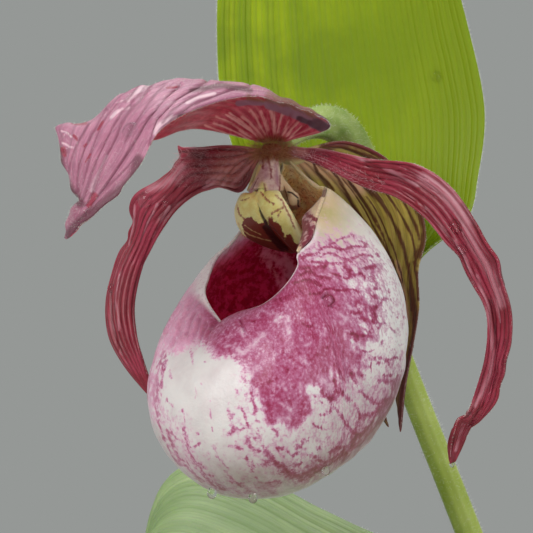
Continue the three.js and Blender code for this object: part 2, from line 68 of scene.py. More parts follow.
def wire(node, inputs):
    """Fills a node's inputs: a node or socket is linked, a name is read from the numbers painted
    on the piece, and anything else becomes the input's value."""
    for key, value in inputs.items():
        if isinstance(value, str):
            value = add_node(node.id_data, "Attribute", attribute_name=value).outputs["Fac"]
        if isinstance(value, bpy.types.Node):
            value = value.outputs[0]
        if isinstance(value, bpy.types.NodeSocket):
            node.id_data.links.new(value, node.inputs[key])
        else:
            node.inputs[key].default_value = value


def add_node(tree, kind, inputs=None, **settings):
    """Adds one shader node with its settings, links and values."""
    node = tree.nodes.new("ShaderNode" + kind)
    for key, value in settings.items():
        setattr(node, key, value)
    wire(node, inputs or {})
    return node


world = bpy.data.worlds.new("studio")
world.use_nodes = True
world.node_tree.nodes.clear()
surround = add_node(world.node_tree, "Background", {"Color": linear("#959896"), "Strength": 1.0})
add_node(world.node_tree, "OutputWorld", {"Surface": surround.outputs[0]})
bpy.context.scene.world = world

LAMPS = [
    ("key_lamp", (-0.75, -0.85, 1.05), 0.7, 12.5),
    ("fill_lamp", (0.95, -0.9, 0.55), 0.9, 6.5),
    ("top_lamp", (0.1, 0.45, 1.25), 0.8, 6.2),
]
for lamp_name, place, size, power in LAMPS:
    lamp_data = bpy.data.lights.new(lamp_name, "AREA")
    lamp_data.size = size
    lamp_data.energy = power
    lamp = bpy.data.objects.new(lamp_name, lamp_data)
    bpy.context.scene.collection.objects.link(lamp)
    lamp.location = place
    aim = Vector(FLOWER * MM) - lamp.location
    lamp.rotation_euler = aim.to_track_quat("-Z", "Y").to_euler()

bpy.ops.mesh.primitive_plane_add(size=4.6, location=(0, 0, 0))
floor = bpy.context.object
floor.name = "studio_floor"
floor_paint = bpy.data.materials.new("matt_floor_paint")
floor_paint.use_nodes = True
floor_shader = floor_paint.node_tree.nodes["Principled BSDF"]
wire(floor_shader, {"Base Color": linear("#c9c9c6"), "Roughness": 0.85})
floor.data.materials.append(floor_paint)


# Pot: plain thrown terracotta, tapered, with a thick rim band and three drain holes in its
# foot. Unglazed and fired, so it is matt, dusty orange and a little blotchy from damp.
POT_HEIGHT = 130.0
POT_RIM = 75.0
POT_FOOT = 50.0
CLAY_GRAIN = 0.6
DRAIN_RADIUS = 5.0
DRAIN_RING = 28.0
DRAIN_TURNS = (90, 210, 330)


def new_piece(name, points, faces, materials, run=None, face_materials=None):
    """A smooth mesh object from points in millimetres; run is an (s, t) pair for each point."""
    mesh = bpy.data.meshes.new(name)
    mesh.from_pydata((np.asarray(points) * MM).tolist(), [], [tuple(map(int, f)) for f in faces])
    mesh.polygons.foreach_set("use_smooth", [True] * len(mesh.polygons))
    if run is not None:
        corner = np.zeros(len(mesh.loops), dtype=np.int32)
        mesh.loops.foreach_get("vertex_index", corner)
        layer = mesh.uv_layers.new(name="run")
        pairs = np.asarray(run, dtype=np.float32)[corner]
        starts = np.zeros(len(mesh.polygons), dtype=np.int32)
        mesh.polygons.foreach_get("loop_start", starts)
        low, high = np.minimum.reduceat(pairs[:, 1], starts), np.maximum.reduceat(pairs[:, 1], starts)
        sides = np.diff(np.append(starts, len(corner)))
        closing = np.repeat(high - low > 0.5, sides) & (pairs[:, 1] < 0.5)
        pairs[closing, 1] += 1
        layer.data.foreach_set("uv", pairs.ravel())
    for material in materials:
        mesh.materials.append(material)
    if face_materials is not None:
        mesh.polygons.foreach_set("material_index", np.asarray(face_materials, dtype=np.int32))
    mesh.update()
    piece = bpy.data.objects.new(name, mesh)
    bpy.context.scene.collection.objects.link(piece)
    return piece


def new_material(name):
    """A material with an empty tree, and the Principled shader that ends it."""
    material = bpy.data.materials.new(name)
    material.use_nodes = True
    tree = material.node_tree
    tree.nodes.clear()
    shader = add_node(tree, "BsdfPrincipled")
    add_node(tree, "OutputMaterial", {"Surface": shader.outputs[0]})
    return material, tree, shader


def speckle(tree, size_mm, detail=4.0, roughness=0.6):
    """Noise in the piece's own space, its lumps about that many millimetres across."""
    place = add_node(tree, "TexCoord").outputs["Object"]
    noise = {"Vector": place, "Scale": 1000 / size_mm, "Detail": detail, "Roughness": roughness}
    return add_node(tree, "TexNoise", noise).outputs[0]


def product(tree, *factors):
    """Masks multiplied together. One in brackets is a value, the two numbers that it eases in
    between, and what the mask is before and after them if that isn't 0 and 1."""
    total = None
    for factor in factors:
        if isinstance(factor, tuple):
            factor = add_node(tree, "MapRange", dict(enumerate(factor)), interpolation_type="SMOOTHSTEP")
        if total is not None:
            factor = add_node(tree, "Math", {0: total, 1: factor}, operation="MULTIPLY")
        total = factor
    return total


def summed(tree, start, *terms):
    """Adds sockets to a number or socket: each term is a socket, its middle value and its weight."""
    for value, middle, weight in terms:
        swing = add_node(tree, "Math", {0: value, 1: middle}, operation="SUBTRACT")
        swing = product(tree, swing, weight)
        start = add_node(tree, "Math", {0: start, 1: swing}, operation="ADD")
    return start


def over(tree, under, upper, mask, low=None, high=None, least=0.0, most=1.0):
    """Lays a colour over another by a mask, or as the mask rises from low to high."""
    if low is not None:
        mask = product(tree, (mask, low, high, least, most))
    under = linear(under) if isinstance(under, str) else under
    upper = linear(upper) if isinstance(upper, str) else upper
    return add_node(tree, "Mix", {0: mask, 6: under, 7: upper}, data_type="RGBA").outputs[2]


def ring_faces(rings, sides, start=0):
    """Quads between rings of points, each ring closed on itself."""
    faces = []
    for i in range(rings - 1):
        for j in range(sides):
            a = start + i * sides + j
            b = start + i * sides + (j + 1) % sides
            faces.append((a, b, b + sides, a + sides))
    return faces


def soft_corners(profile, radius=0.8):
    """A profile with each inner corner cut by a short bevel."""
    profile = np.asarray(profile, dtype=float)
    out = [profile[0]]
    for before, corner, after in zip(profile[:-2], profile[1:-1], profile[2:]):
        for other in (before, after):
            way = other - corner
            reach = min(radius, np.linalg.norm(way) / 3)
            out.append(corner + way / np.linalg.norm(way) * reach)
    return np.array(out + [profile[-1]])


def apply_modifiers(piece):
    """Turns a piece's modifiers into mesh."""
    bpy.context.view_layer.objects.active = piece
    piece.select_set(True)
    for modifier in list(piece.modifiers):
        bpy.ops.object.modifier_apply(modifier=modifier.name)
    piece.select_set(False)


pot_profile = soft_corners(
    [
        (0.01, 0.0), (POT_FOOT, 0.0), (POT_RIM - 6, POT_HEIGHT - 26), (POT_RIM, POT_HEIGHT - 24.5),
        (POT_RIM, POT_HEIGHT), (POT_RIM - 7, POT_HEIGHT), (POT_RIM - 8.4, POT_HEIGHT - 4),
        (POT_FOOT - 6, 7.0), (0.01, 7.0),
    ],
    1.6,
)
POT_SIDES = 160
turns = np.arange(POT_SIDES) / POT_SIDES * 2 * math.pi
pot_points = []
for radius, height in pot_profile:
    wobble = 1 + 0.0025 * np.sin(2 * turns + 0.8) * (radius > 20)
    pot_points.append(
        np.stack([radius * wobble * np.cos(turns), radius * wobble * np.sin(turns), 0 * turns + height], 1)
    )
pot_points = np.concatenate(pot_points)
pot_faces = ring_faces(len(pot_profile), POT_SIDES)
last_ring = (len(pot_profile) - 1) * POT_SIDES
pot_faces.append(tuple(range(POT_SIDES - 1, -1, -1)))
pot_faces.append(tuple(range(last_ring, last_ring + POT_SIDES)))

terracotta, tree, shader = new_material("fired_terracotta")
place = add_node(tree, "TexCoord").outputs["Object"]
grain = add_node(tree, "TexNoise", {"Vector": place, "Scale": 1000 / CLAY_GRAIN, "Detail": 4.0})
damp = speckle(tree, 45.0, 6.0, 0.62)
streaks = add_node(tree, "Mapping", {"Vector": place, "Scale": (1.0, 1.0, 9.0)})
throwing = add_node(
    tree, "TexNoise", {"Vector": streaks.outputs[0], "Scale": 1000 / 30, "Detail": 3.0}
)
clay_tones = add_node(tree, "ValToRGB", {0: damp})
clay_tones.color_ramp.elements[0].position = 0.34
clay_tones.color_ramp.elements[0].color = linear("#9c5638")
clay_tones.color_ramp.elements[1].position = 0.66
clay_tones.color_ramp.elements[1].color = linear("#c07a55")
bloom_edge = add_node(tree, "MapRange", {0: throwing.outputs[0], 1: 0.52, 2: 0.8, 3: 0.0, 4: 0.45})
clay_colour = over(tree, clay_tones.outputs[0], "#cfa68a", bloom_edge.outputs[0])
speckled = add_node(
    tree, "Mix", {0: 0.18, 6: clay_colour, 7: grain.outputs[1]}, data_type="RGBA", blend_type="OVERLAY"
)
clay_relief = summed(tree, grain.outputs[0], (throwing.outputs[0], 0.0, 1.0))
clay_bump = add_node(tree, "Bump", {"Height": clay_relief, "Strength": 0.35, "Distance": 0.0004})
wire(shader, {"Base Color": speckled.outputs[2], "Roughness": 0.88, "Normal": clay_bump.outputs[0]})

pot = new_piece("clay_pot", pot_points, pot_faces, [terracotta])
for turn in np.radians(DRAIN_TURNS):
    drill_at = Vector((DRAIN_RING * math.cos(turn), DRAIN_RING * math.sin(turn), 3)) * MM
    bpy.ops.mesh.primitive_cylinder_add(
        vertices=40, radius=DRAIN_RADIUS * MM, depth=0.02, location=drill_at
    )
    drill = bpy.context.object
    cut = pot.modifiers.new("drain_hole", "BOOLEAN")
    cut.operation = "DIFFERENCE"
    cut.object = drill
    apply_modifiers(pot)
    bpy.data.objects.remove(drill)
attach(pot, "root")
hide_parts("pot")


# Soil: damp potting mix of bark fines, peat and grit, rough on top, with loose bits of bark,
# gravel and white pumice lying on it. It fills the pot to 15 mm below the rim.
SOIL_LEVEL = 115.0
SOIL_CRUMB = 2.2
rng = np.random.default_rng(7)


def smooth_noise(x, y, cell, seed):
    """Soft bumps between 0 and 1, one to each cell of that many millimetres."""
    lattice = np.random.default_rng(seed).random((64, 64))
    gx, gy = x / cell + 32, y / cell + 32
    ix, iy = np.floor(gx).astype(int), np.floor(gy).astype(int)
    fx, fy = gx - ix, gy - iy
    fx, fy = fx * fx * (3 - 2 * fx), fy * fy * (3 - 2 * fy)
    a, b = lattice[ix % 64, iy % 64], lattice[(ix + 1) % 64, iy % 64]
    c, d = lattice[ix % 64, (iy + 1) % 64], lattice[(ix + 1) % 64, (iy + 1) % 64]
    return (a * (1 - fx) + b * fx) * (1 - fy) + (c * (1 - fx) + d * fx) * fy


def soil_height(x, y):
    """Height of the soil's surface, flat round the stem and low at the wall."""
    r = np.hypot(x, y)
    rough = (
        (smooth_noise(x, y, 11, 1) - 0.5) * 1.6
        + (smooth_noise(x, y, 4.3, 2) - 0.5) * 1.2
        + (smooth_noise(x, y, 1.9, 3) - 0.5) * 0.9
    )
    calm = np.clip((r - 4) / 8, 0.12, 1)
    return SOIL_LEVEL - 0.1 + rough * calm - 1.6 * np.clip((r - 40) / 24, 0, 1) ** 2


SOIL_SIDES = 220
soil_turns = np.arange(SOIL_SIDES) / SOIL_SIDES * 2 * math.pi
soil_radii = np.concatenate([[3.3], np.linspace(4.0, 63.2, 62)])
soil_rings = [np.stack([3.3 * np.cos(soil_turns), 3.3 * np.sin(soil_turns), 0 * soil_turns + 91], 1)]
for radius in soil_radii:
    x, y = radius * np.cos(soil_turns), radius * np.sin(soil_turns)
    soil_rings.append(np.stack([x, y, soil_height(x, y)], 1))
for radius, height in ((62.9, 108), (44.0, 7.5)):
    soil_rings.append(
        np.stack([radius * np.cos(soil_turns), radius * np.sin(soil_turns), 0 * soil_turns + height], 1)
    )
soil_faces = ring_faces(len(soil_rings), SOIL_SIDES)
last_ring = (len(soil_rings) - 1) * SOIL_SIDES
soil_faces = [tuple(reversed(f)) for f in soil_faces]
soil_faces.append(tuple(range(SOIL_SIDES)))
soil_faces.append(tuple(range(last_ring + SOIL_SIDES - 1, last_ring - 1, -1)))

potting_mix, tree, shader = new_material("damp_potting_mix")
place = add_node(tree, "TexCoord").outputs["Object"]
crumbs = add_node(tree, "TexVoronoi", {"Vector": place, "Scale": 1000 / SOIL_CRUMB})
fines = add_node(tree, "TexNoise", {"Vector": place, "Scale": 1000 / 0.8, "Detail": 5.0})
mix_tones = add_node(tree, "ValToRGB", {0: crumbs.outputs["Color"]})
for position, colour in ((0.2, "#241a13"), (0.45, "#3b2c20"), (0.72, "#54402e"), (0.93, "#7a6149")):
    stop = mix_tones.color_ramp.elements.new(position)
    stop.color = linear(colour)
mix_tones.color_ramp.elements.remove(mix_tones.color_ramp.elements[0])
mix_tones.color_ramp.elements.remove(mix_tones.color_ramp.elements[-1])
speckled = {0: 0.5, 6: mix_tones.outputs[0], 7: fines.outputs[1]}
mottled = add_node(tree, "Mix", speckled, data_type="RGBA", blend_type="OVERLAY")
crumb_relief = add_node(
    tree, "Math", {0: crumbs.outputs["Distance"], 1: fines.outputs[0]}, operation="SUBTRACT"
)
crumb_bump = add_node(tree, "Bump", {"Height": crumb_relief, "Strength": 0.7, "Distance": 0.0008})
wire(shader, {"Base Color": mottled.outputs[2], "Roughness": 0.92, "Normal": crumb_bump.outputs[0]})

soil = new_piece("potting_soil", np.concatenate(soil_rings), soil_faces, [potting_mix])
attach(soil, "root")
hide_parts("soil")


def chip(size, flatness, stretch):
    """One rough stone or bark chip about the origin: a cube cut and pushed about."""
    corners = np.array([(x, y, z) for x in (-1, 1) for y in (-1, 1) for z in (-1, 1)], dtype=float)
    corners *= 1 + rng.uniform(-0.35, 0.2, corners.shape)
    corners *= np.array([stretch, 1.0, flatness]) * size / 2
    faces = [(0, 1, 3, 2), (4, 6, 7, 5), (0, 4, 5, 1), (2, 3, 7, 6), (0, 2, 6, 4), (1, 5, 7, 3)]
    return corners, faces


BITS = [
    ("bark_chips", 150, (2.5, 7.0), 0.35, 1.7, "#5a3c26", "#38261a"),
    ("pumice_grit", 110, (1.4, 3.6), 0.8, 1.1, "#cfc8ba", "#a49c8c"),
    ("gravel_grit", 170, (1.2, 3.2), 0.7, 1.2, "#7d766b", "#55504a"),
]
for bits_name, count, sizes, flatness, stretch, light_tone, dark_tone in BITS:
    bit_points, bit_faces = [], []
    for _ in range(count):
        r = 7 + 54 * math.sqrt(rng.random())
        a = rng.uniform(0, 2 * math.pi)
        size = rng.uniform(*sizes)
        corners, faces = chip(size, flatness, stretch * rng.uniform(0.8, 1.3))
        spin, tip = rng.uniform(0, 2 * math.pi), rng.uniform(-0.45, 0.45)
        c, s = math.cos(spin), math.sin(spin)
        turn = np.array([[c, -s, 0], [s, c, 0], [0, 0, 1]])
        c, s = math.cos(tip), math.sin(tip)
        lean = np.array([[1, 0, 0], [0, c, -s], [0, s, c]])
        x, y = r * math.cos(a), r * math.sin(a)
        lift = float(soil_height(np.array([x]), np.array([y]))[0]) + size * flatness * 0.25
        start = sum(len(p) for p in bit_points)
        bit_points.append(corners @ lean.T @ turn.T + [x, y, lift])
        bit_faces += [tuple(start + k for k in f) for f in faces]
    stuff, tree, shader = new_material(bits_name)
    tones = speckle(tree, 3.0, 5.0, 0.5)
    wire(shader, {"Base Color": over(tree, dark_tone, light_tone, tones), "Roughness": 0.9})
    bits = new_piece(bits_name, np.concatenate(bit_points), bit_faces, [stuff])
    bits.data.polygons.foreach_set("use_smooth", [False] * len(bits.data.polygons))
    rounding = bits.modifiers.new("rounding", "BEVEL")
    rounding.width = 0.00025
    rounding.segments = 1
    apply_modifiers(bits)
    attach(bits, "root")


# Stem: one juicy green stalk, faintly ribbed, covered in short white hairs. It stands in
# the soil and leans over to the viewer's left as it rises to the bract's foot.
STEM_HEIGHT = 226.0
STEM_SWAY = 2.1
STEM_SWAY_FROM = 158.0
STEM_SWAY_OVER = 56.0


def through(values, s, closed=False):
    """A smooth curve through rows of values at equal steps, read at s from 0 to 1."""
    values = np.asarray(values, dtype=float)
    if closed:
        values = np.concatenate([values[-1:], values, values[:2]])
        steps = len(values) - 3
    else:
        first, last = 2 * values[:1] - values[1:2], 2 * values[-1:] - values[-2:-1]
        values = np.concatenate([first, values, last])
        steps = len(values) - 3
    x = np.clip(np.asarray(s, dtype=float), 0, 1) * steps
    i = np.minimum(np.floor(x).astype(int), steps - 1)
    f = (x - i).reshape(x.shape + (1,) * (values.ndim - 1))
    a, b, c, d = (values[i + k] for k in range(4))
    p, q = (c - a) / 2, (d - b) / 2
    return b + p * f + (3 * (c - b) - 2 * p - q) * f**2 + (2 * (b - c) + p + q) * f**3


def unit(v):
    """Vectors scaled to length one."""
    return v / np.maximum(np.linalg.norm(v, axis=-1, keepdims=True), 1e-9)


def stem_at(z):
    """Centre of the stem at height z."""
    h = max(z - SOIL_LEVEL, 0.0)
    k = min(max((h - STEM_SWAY_FROM) / STEM_SWAY_OVER, 0.0), 1.0)
    return np.array([-0.4 * h**3 / (h * h + 240.0**2) - STEM_SWAY * k * k * (3 - 2 * k), 0.0, z])


def stem_radius(z):
    """Radius of the stem at height z."""
    return 3.0 - 0.8 * min(max(z - SOIL_LEVEL, 0.0) / STEM_HEIGHT, 1.0)


def rod_points(path, radii, rings, sides, flat=1.0, ribs=0, rib_depth=0.0):
    """Rings of points round a path: returns points, outward directions and (s, t) pairs."""
    s = np.linspace(0, 1, rings)
    centre = through(path, s)
    ahead = unit(np.gradient(centre, axis=0))
    across = np.array([0.0, 1.0, 0.0]) - ahead * ahead[:, 1:2]
    across = unit(across)
    other = np.cross(ahead, across)
    t = np.arange(sides) / sides
    a = 2 * math.pi * t
    r = through(radii, s)[:, None] * (1 + rib_depth * np.cos(ribs * a))[None, :]
    out = across[:, None] * (flat * np.cos(a))[None, :, None] + other[:, None] * np.sin(a)[None, :, None]
    points = centre[:, None] + out * r[..., None]
    run = np.stack(np.meshgrid(s, t, indexing="ij"), -1)
    return points.reshape(-1, 3), unit(out).reshape(-1, 3), run.reshape(-1, 2)


def rod_piece(name, points, run, rings, sides, material):
    """A rod from its rings, with a flat cap at each end."""
    faces = ring_faces(rings, sides)
    faces.append(tuple(range(sides - 1, -1, -1)))
    faces.append(tuple(range((rings - 1) * sides, rings * sides)))
    return new_piece(name, points, faces, [material], run)


def hair_coat(name, roots, ways, lengths, thickness, material, bent=False):
    """Fine hairs as three-sided spikes standing on roots along ways; long ones are bent."""
    count = len(roots)
    side = unit(np.cross(ways, rng.normal(size=(count, 3))))
    other = np.cross(ways, side)
    bend = rng.normal(scale=0.28, size=(count, 3))
    lengths = np.asarray(lengths)[:, None]
    rings = [(roots - ways * 0.1, thickness)]
    pattern = [(0, 1, 3), (1, 2, 3), (2, 0, 3)]
    if bent:
        rings.append((roots + ways * lengths * 0.55 + bend * lengths * 0.12, thickness * 0.75))
        pattern = [(0, 1, 4, 3), (1, 2, 5, 4), (2, 0, 3, 5), (3, 4, 6), (4, 5, 6), (5, 3, 6)]
    points = []
    for centre, radius in rings:
        for k in range(3):
            a = 2 * math.pi * k / 3
            points.append(centre + (side * math.cos(a) + other * math.sin(a)) * radius)
    points.append(roots + ways * lengths + bend * lengths * 0.55)
    each = len(points)
    points = np.stack(points, 1).reshape(-1, 3)
    faces = [tuple(each * n + k for k in f) for n in range(count) for f in pattern]
    return new_piece(name, points, faces, [material])


def plant_skin(name, tones, patch_mm, gloss, glow):
    """Soft living tissue: blended tones in patches of a size, with light passing under it."""
    material, tree, shader = new_material(name)
    colours = add_node(tree, "ValToRGB", {0: speckle(tree, patch_mm, 5.0, 0.5)})
    colours.color_ramp.elements[0].position = 0.32
    colours.color_ramp.elements[0].color = linear(tones[0])
    colours.color_ramp.elements[1].position = 0.68
    colours.color_ramp.elements[1].color = linear(tones[1])
    wire(shader, {
        "Base Color": colours.outputs[0], "Roughness": gloss, "IOR": 1.42, "Subsurface Weight": glow,
        "Subsurface Radius": (0.6, 0.9, 0.25), "Subsurface Scale": 0.001,
    })
    return material, tree, shader


stem_skin, tree, shader = plant_skin("green_stem_skin", ("#97aa38", "#b8c766"), 9.0, 0.5, 0.3)
pile, tree, shader = new_material("white_plant_hair")
wire(shader, {
    "Base Color": linear("#e9eddc"), "Roughness": 0.6, "Subsurface Weight": 0.4,
    "Subsurface Radius": (0.5, 0.5, 0.5), "Subsurface Scale": 0.0005,
})

stem_heights = [-24, 0, 25, 50, 75, 100, 125, 150, 163, 176, 189, 202, 214, STEM_HEIGHT]
stem_path = [stem_at(SOIL_LEVEL + h) if h >= 0 else [0, 0, SOIL_LEVEL + 0.4 + h] for h in stem_heights]
stem_radii = [stem_radius(SOIL_LEVEL + h) for h in stem_heights]
stem_points, stem_out, stem_run = rod_points(stem_path, stem_radii, 220, 48, 1.0, 9, 0.022)
stem = rod_piece("green_stem", stem_points, stem_run, 220, 48, stem_skin)
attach(stem, "root")
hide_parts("stem")

above = np.nonzero(stem_points[:, 2] > 250)[0]
picked = above[rng.integers(0, len(above), 6000)]
jitter = rng.normal(scale=0.25, size=(len(picked), 3))
ways = unit(stem_out[picked] + rng.normal(scale=0.35, size=(len(picked), 3)) + [0, 0, 0.15])
stem_pile = hair_coat(
    "stem_hairs", stem_points[picked] + jitter * [0.3, 0.3, 1], ways, rng.uniform(0.3, 0.75, len(picked)),
    0.02, pile,
)
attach(stem_pile, "root")


# Sheaths and leaves: pleated blades whose feet wrap the stem. Soft, thin and half lucent, with
# fine parallel veins sunk in the pleats, and short hairs along the margins.
LEAF_HALF = 0.3
PLEATS = 10
VEIN_SPACING = 1.6
LEAF_BREADTH = 70.0


def normals_of(surface):
    """Unit normals of a grid of points."""
    return unit(np.cross(np.gradient(surface, axis=0), np.gradient(surface, axis=1)))


def across_stem(stations, azimuth, tilt, rows, columns, pleat):
    """Middle surface of a leaf: stations are [middle, width, curl in degrees] up its length."""
    a = math.radians(azimuth)
    side = unit(np.array([-math.sin(a), math.cos(a), tilt]))
    s, t = np.meshgrid(np.linspace(0, 1, rows), np.linspace(0, 1, columns), indexing="ij")
    fine = np.linspace(0, 1, rows)
    midrib = through([p for p, _, _ in stations], fine)
    ahead = unit(np.gradient(midrib, axis=0))
    inward = unit(np.cross(ahead, side))
    curl = np.radians(through([c for _, _, c in stations], fine))
    width = through([w for _, w, _ in stations], fine)
    radius = (width / curl)[:, None]
    angle = curl[:, None] * (t - 0.5)
    middle = (
        midrib[:, None]
        + side * (radius * np.sin(angle))[..., None]
        + inward[:, None] * (radius * (1 - np.cos(angle)))[..., None]
    )
    normal = normals_of(middle)
    depth = pleat * np.clip(width / 30, 0, 1)[:, None] * np.clip(np.minimum(t, 1 - t) / 0.08, 0, 1)
    fold = np.cos(2 * math.pi * PLEATS * (t - 0.5)) + 0.35 * np.cos(4 * math.pi * PLEATS * (t - 0.5) + 1)
    crease = -1.3 * np.exp(-(((t - 0.5) / 0.012) ** 2))
    return middle + normal * (depth * (fold + crease))[..., None]


def sheet_piece(name, middle, half, materials, thin_edge=0.3):
    """A closed thin sheet about a grid of middle points, thinner to its edge: [front, back]."""
    rows, columns = middle.shape[:2]
    s, t = np.meshgrid(np.linspace(0, 1, rows), np.linspace(0, 1, columns), indexing="ij")
    normal = normals_of(middle)
    near = np.clip(np.minimum(np.minimum(t, 1 - t) / 0.05, np.minimum(s, 1 - s) / 0.02), 0, 1)
    reach = half * (thin_edge + (1 - thin_edge) * np.sqrt(near * (2 - near)))[..., None]
    points = np.concatenate([middle + normal * reach, middle - normal * reach]).reshape(-1, 3)
    n = rows * columns
    number = np.arange(n).reshape(rows, columns)
    a, b, c, d = number[:-1, :-1], number[1:, :-1], number[1:, 1:], number[:-1, 1:]
    front = np.stack([a, b, c, d], -1).reshape(-1, 4)
    back = np.stack([a, d, c, b], -1).reshape(-1, 4) + n
    ring = np.concatenate([number[0, :-1], number[:-1, -1], number[-1, :0:-1], number[:0:-1, 0]])
    after = np.roll(ring, -1)
    rim = np.stack([ring, after, after + n, ring + n], -1)
    faces = np.concatenate([front, back, rim])
    which = [0] * len(front) + [len(materials) - 1] * len(back) + [0] * len(rim)
    run = np.stack([s, t], -1).reshape(-1, 2)
    return new_piece(name, points, faces, materials, np.concatenate([run, run]), which)


def edge_hairs(name, middle, sides, count, longest, thickness, material):
    """Hairs that stand out from a sheet's margins; sides picks t = 0, t = 1 or both."""
    rows = len(middle)
    roots, ways = [], []
    for side in sides:
        edge, inner = (middle[:, 0], middle[:, 3]) if side == 0 else (middle[:, -1], middle[:, -4])
        place = rng.uniform(0.02, 0.98, count) * (rows - 1)
        i = np.floor(place).astype(int)
        f = (place - i)[:, None]
        roots.append(edge[i] * (1 - f) + edge[i + 1] * f)
        ways.append(unit(edge[i] - inner[i]))
    roots, ways = np.concatenate(roots), np.concatenate(ways)
    ways = unit(ways + rng.normal(scale=0.5, size=ways.shape))
    return hair_coat(name, roots, ways, rng.uniform(0.35, 1.0, len(roots)) * longest, thickness, material)


def grain_along(tree, run, along, across, detail=4.0):
    """Noise drawn out lengthwise: that many lumps along a piece and across it."""
    spread = add_node(tree, "VectorMath", {0: run, 1: (along, across, 1.0)}, operation="MULTIPLY")
    return add_node(
        tree, "TexNoise", {"Vector": spread.outputs[0], "Scale": 1.0, "Detail": detail}
    ).outputs[0]


def leaf_skin(name, pale, deep, vein, contrast):
    """Green leaf tissue: parallel veins, a paler haze between them, painted shade if the piece has it, and
    light from behind.
    """
    material, tree, shader = new_material(name)
    run = add_node(tree, "UVMap", uv_map="run").outputs[0]
    part = add_node(tree, "SeparateXYZ", {0: run})
    ordinate = summed(tree, part.outputs[1], (speckle(tree, 25.0, 2.0, 0.5), 0.0, 0.03))
    tone_masks = []
    for width_mm, sharp in ((LEAF_BREADTH / PLEATS, 0.5), (VEIN_SPACING, 0.3)):
        counted = product(tree, ordinate, LEAF_BREADTH / width_mm)
        wave = add_node(tree, "Math", {0: counted, 1: 0.5}, operation="PINGPONG")
        mask = add_node(tree, "MapRange", {0: wave, 1: 0.0, 2: sharp, 3: 1.0, 4: 0.0})
        tone_masks.append(mask.outputs[0])
    ground = add_node(tree, "MapRange", {0: speckle(tree, 14.0, 4.0, 0.5), 1: 0.35, 2: 0.65})
    colour = over(tree, deep, pale, ground)
    for mask, strength in zip(tone_masks, (0.6 * contrast, 0.4 * contrast)):
        colour = over(tree, colour, vein, product(tree, mask, strength))
    broad = grain_along(tree, run, 1.6, 13.0, 2.0)
    broad = add_node(tree, "MapRange", {0: broad, 1: 0.38, 2: 0.62, 3: 0.0, 4: 0.5})
    colour = over(tree, colour, vein, broad.outputs[0])
    # Painted shade, read from the piece's shade values.
    colour = over(tree, colour, deep, "shade")
    fine = add_node(
        tree, "Bump", {"Height": tone_masks[1], "Strength": 0.5, "Distance": 0.00015}, invert=True
    )
    wire(shader, {
        "Base Color": colour, "Normal": fine.outputs[0], "Roughness": 0.5, "IOR": 1.42,
        "Specular IOR Level": 0.3, "Subsurface Weight": 0.3, "Subsurface Radius": (0.5, 1.0, 0.15),
        "Subsurface Scale": 0.0012,
    })
    return material


leaf_green = leaf_skin("soft_pleated_leaf", "#9cae7c", "#839768", "#6f8756", 0.6)
bract_green = leaf_skin("fresh_bract_leaf", "#a8ba0c", "#7a8e08", "#708c08", 0.45)
sheath_green = leaf_skin("pale_sheath_leaf", "#b3c07c", "#94aa52", "#7d9840", 0.7)


def wrap_station(z, curl, azimuth):
    """A sheath's station round the stem at height z."""
    r = stem_radius(z) + 1.0
    a = math.radians(azimuth)
    middle = stem_at(z) + np.array([r * math.cos(a), r * math.sin(a), 0])
    return [middle, r * math.radians(curl), curl]


def blade_stations(node, sheath, azimuth, shape):
    """Stations for a leaf that leaves the stem at height node: sheath first, then blade."""
    a = math.radians(azimuth)
    root = stem_at(node)
    wraps = ((node - sheath, 322), (node - sheath / 2, 322), (node, 314))
    stations = [wrap_station(z, curl, azimuth) for z, curl in wraps]
    for r, z, width, curl in shape:
        stations.append([root + np.array([r * math.cos(a), r * math.sin(a), z]), width, curl])
    return stations


def blade(length, width, rise):
    """A broad arching blade as [reach, height, width, curl] stations."""
    return [
        [6, length * 0.07 * rise, width * 0.4, 215],
        [length * 0.13, length * 0.16 * rise, width * 0.62, 130],
        [length * 0.28, length * 0.26 * rise, width * 0.86, 88],
        [length * 0.46, length * 0.3 * rise, width, 70],
        [length * 0.63, length * 0.26 * rise, width * 0.93, 62],
        [length * 0.77, length * 0.15 * rise, width * 0.68, 56],
        [length * 0.87, length * 0.01, width * 0.34, 50],
        [length * 0.92, length * -0.12, 2, 45],
    ]


TOP_BLADE = [
    [6.2, 4.6, 24, 215],
    [13, 7, 33, 110],
    [26, 11.5, 42, 56],
    [38.5, 17, 49, 34],
    [50, 23, 53, 24],
    [60, 26.2, 52, 22],
    [66, 23, 46, 22],
    [68.4, 13, 33, 26],
    [69.4, 1, 17, 30],
    [69.8, -10, 2, 30],
]
LEAVES = [
    ("leaf_1", 160, 17, 48, 0, blade(132, 64, 1)),
    ("leaf_2", 194, 24, 214, 0, blade(150, 76, 1.02)),
    ("leaf_3", 233, 27, -38, 0, blade(142, 74, 0.92)),
    ("leaf_4", 273, 27, 174, -0.24, TOP_BLADE),
]
for node_name, node, sheath, azimuth, tilt, shape in LEAVES:
    surface = across_stem(blade_stations(node, sheath, azimuth, shape), azimuth, tilt, 84, 101, 0.4)
    leaf = sheet_piece("pleated_" + node_name, surface, LEAF_HALF, [leaf_green])
    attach(leaf, "root")
    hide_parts(node_name)
    fringe = edge_hairs("fringe_" + node_name, surface, (0, 1), 900, 0.6, 0.02, pile)
    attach(fringe, "root")

low_sheath = [
    [(0, 4, SOIL_LEVEL + 1), 22, 322],
    [(0, 4, SOIL_LEVEL + 7), 22, 318],
    [(0, 4.4, SOIL_LEVEL + 13), 20, 240],
    [(0, 5.6, SOIL_LEVEL + 19), 12, 140],
    [(0, 7.4, SOIL_LEVEL + 24), 3, 60],
]
sheath_surface = across_stem(low_sheath, 90, 0, 60, 81, 0.12)
low_sheath_piece = sheet_piece("low_sheath", sheath_surface, LEAF_HALF, [sheath_green])
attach(low_sheath_piece, "root")
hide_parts("sheath_low")


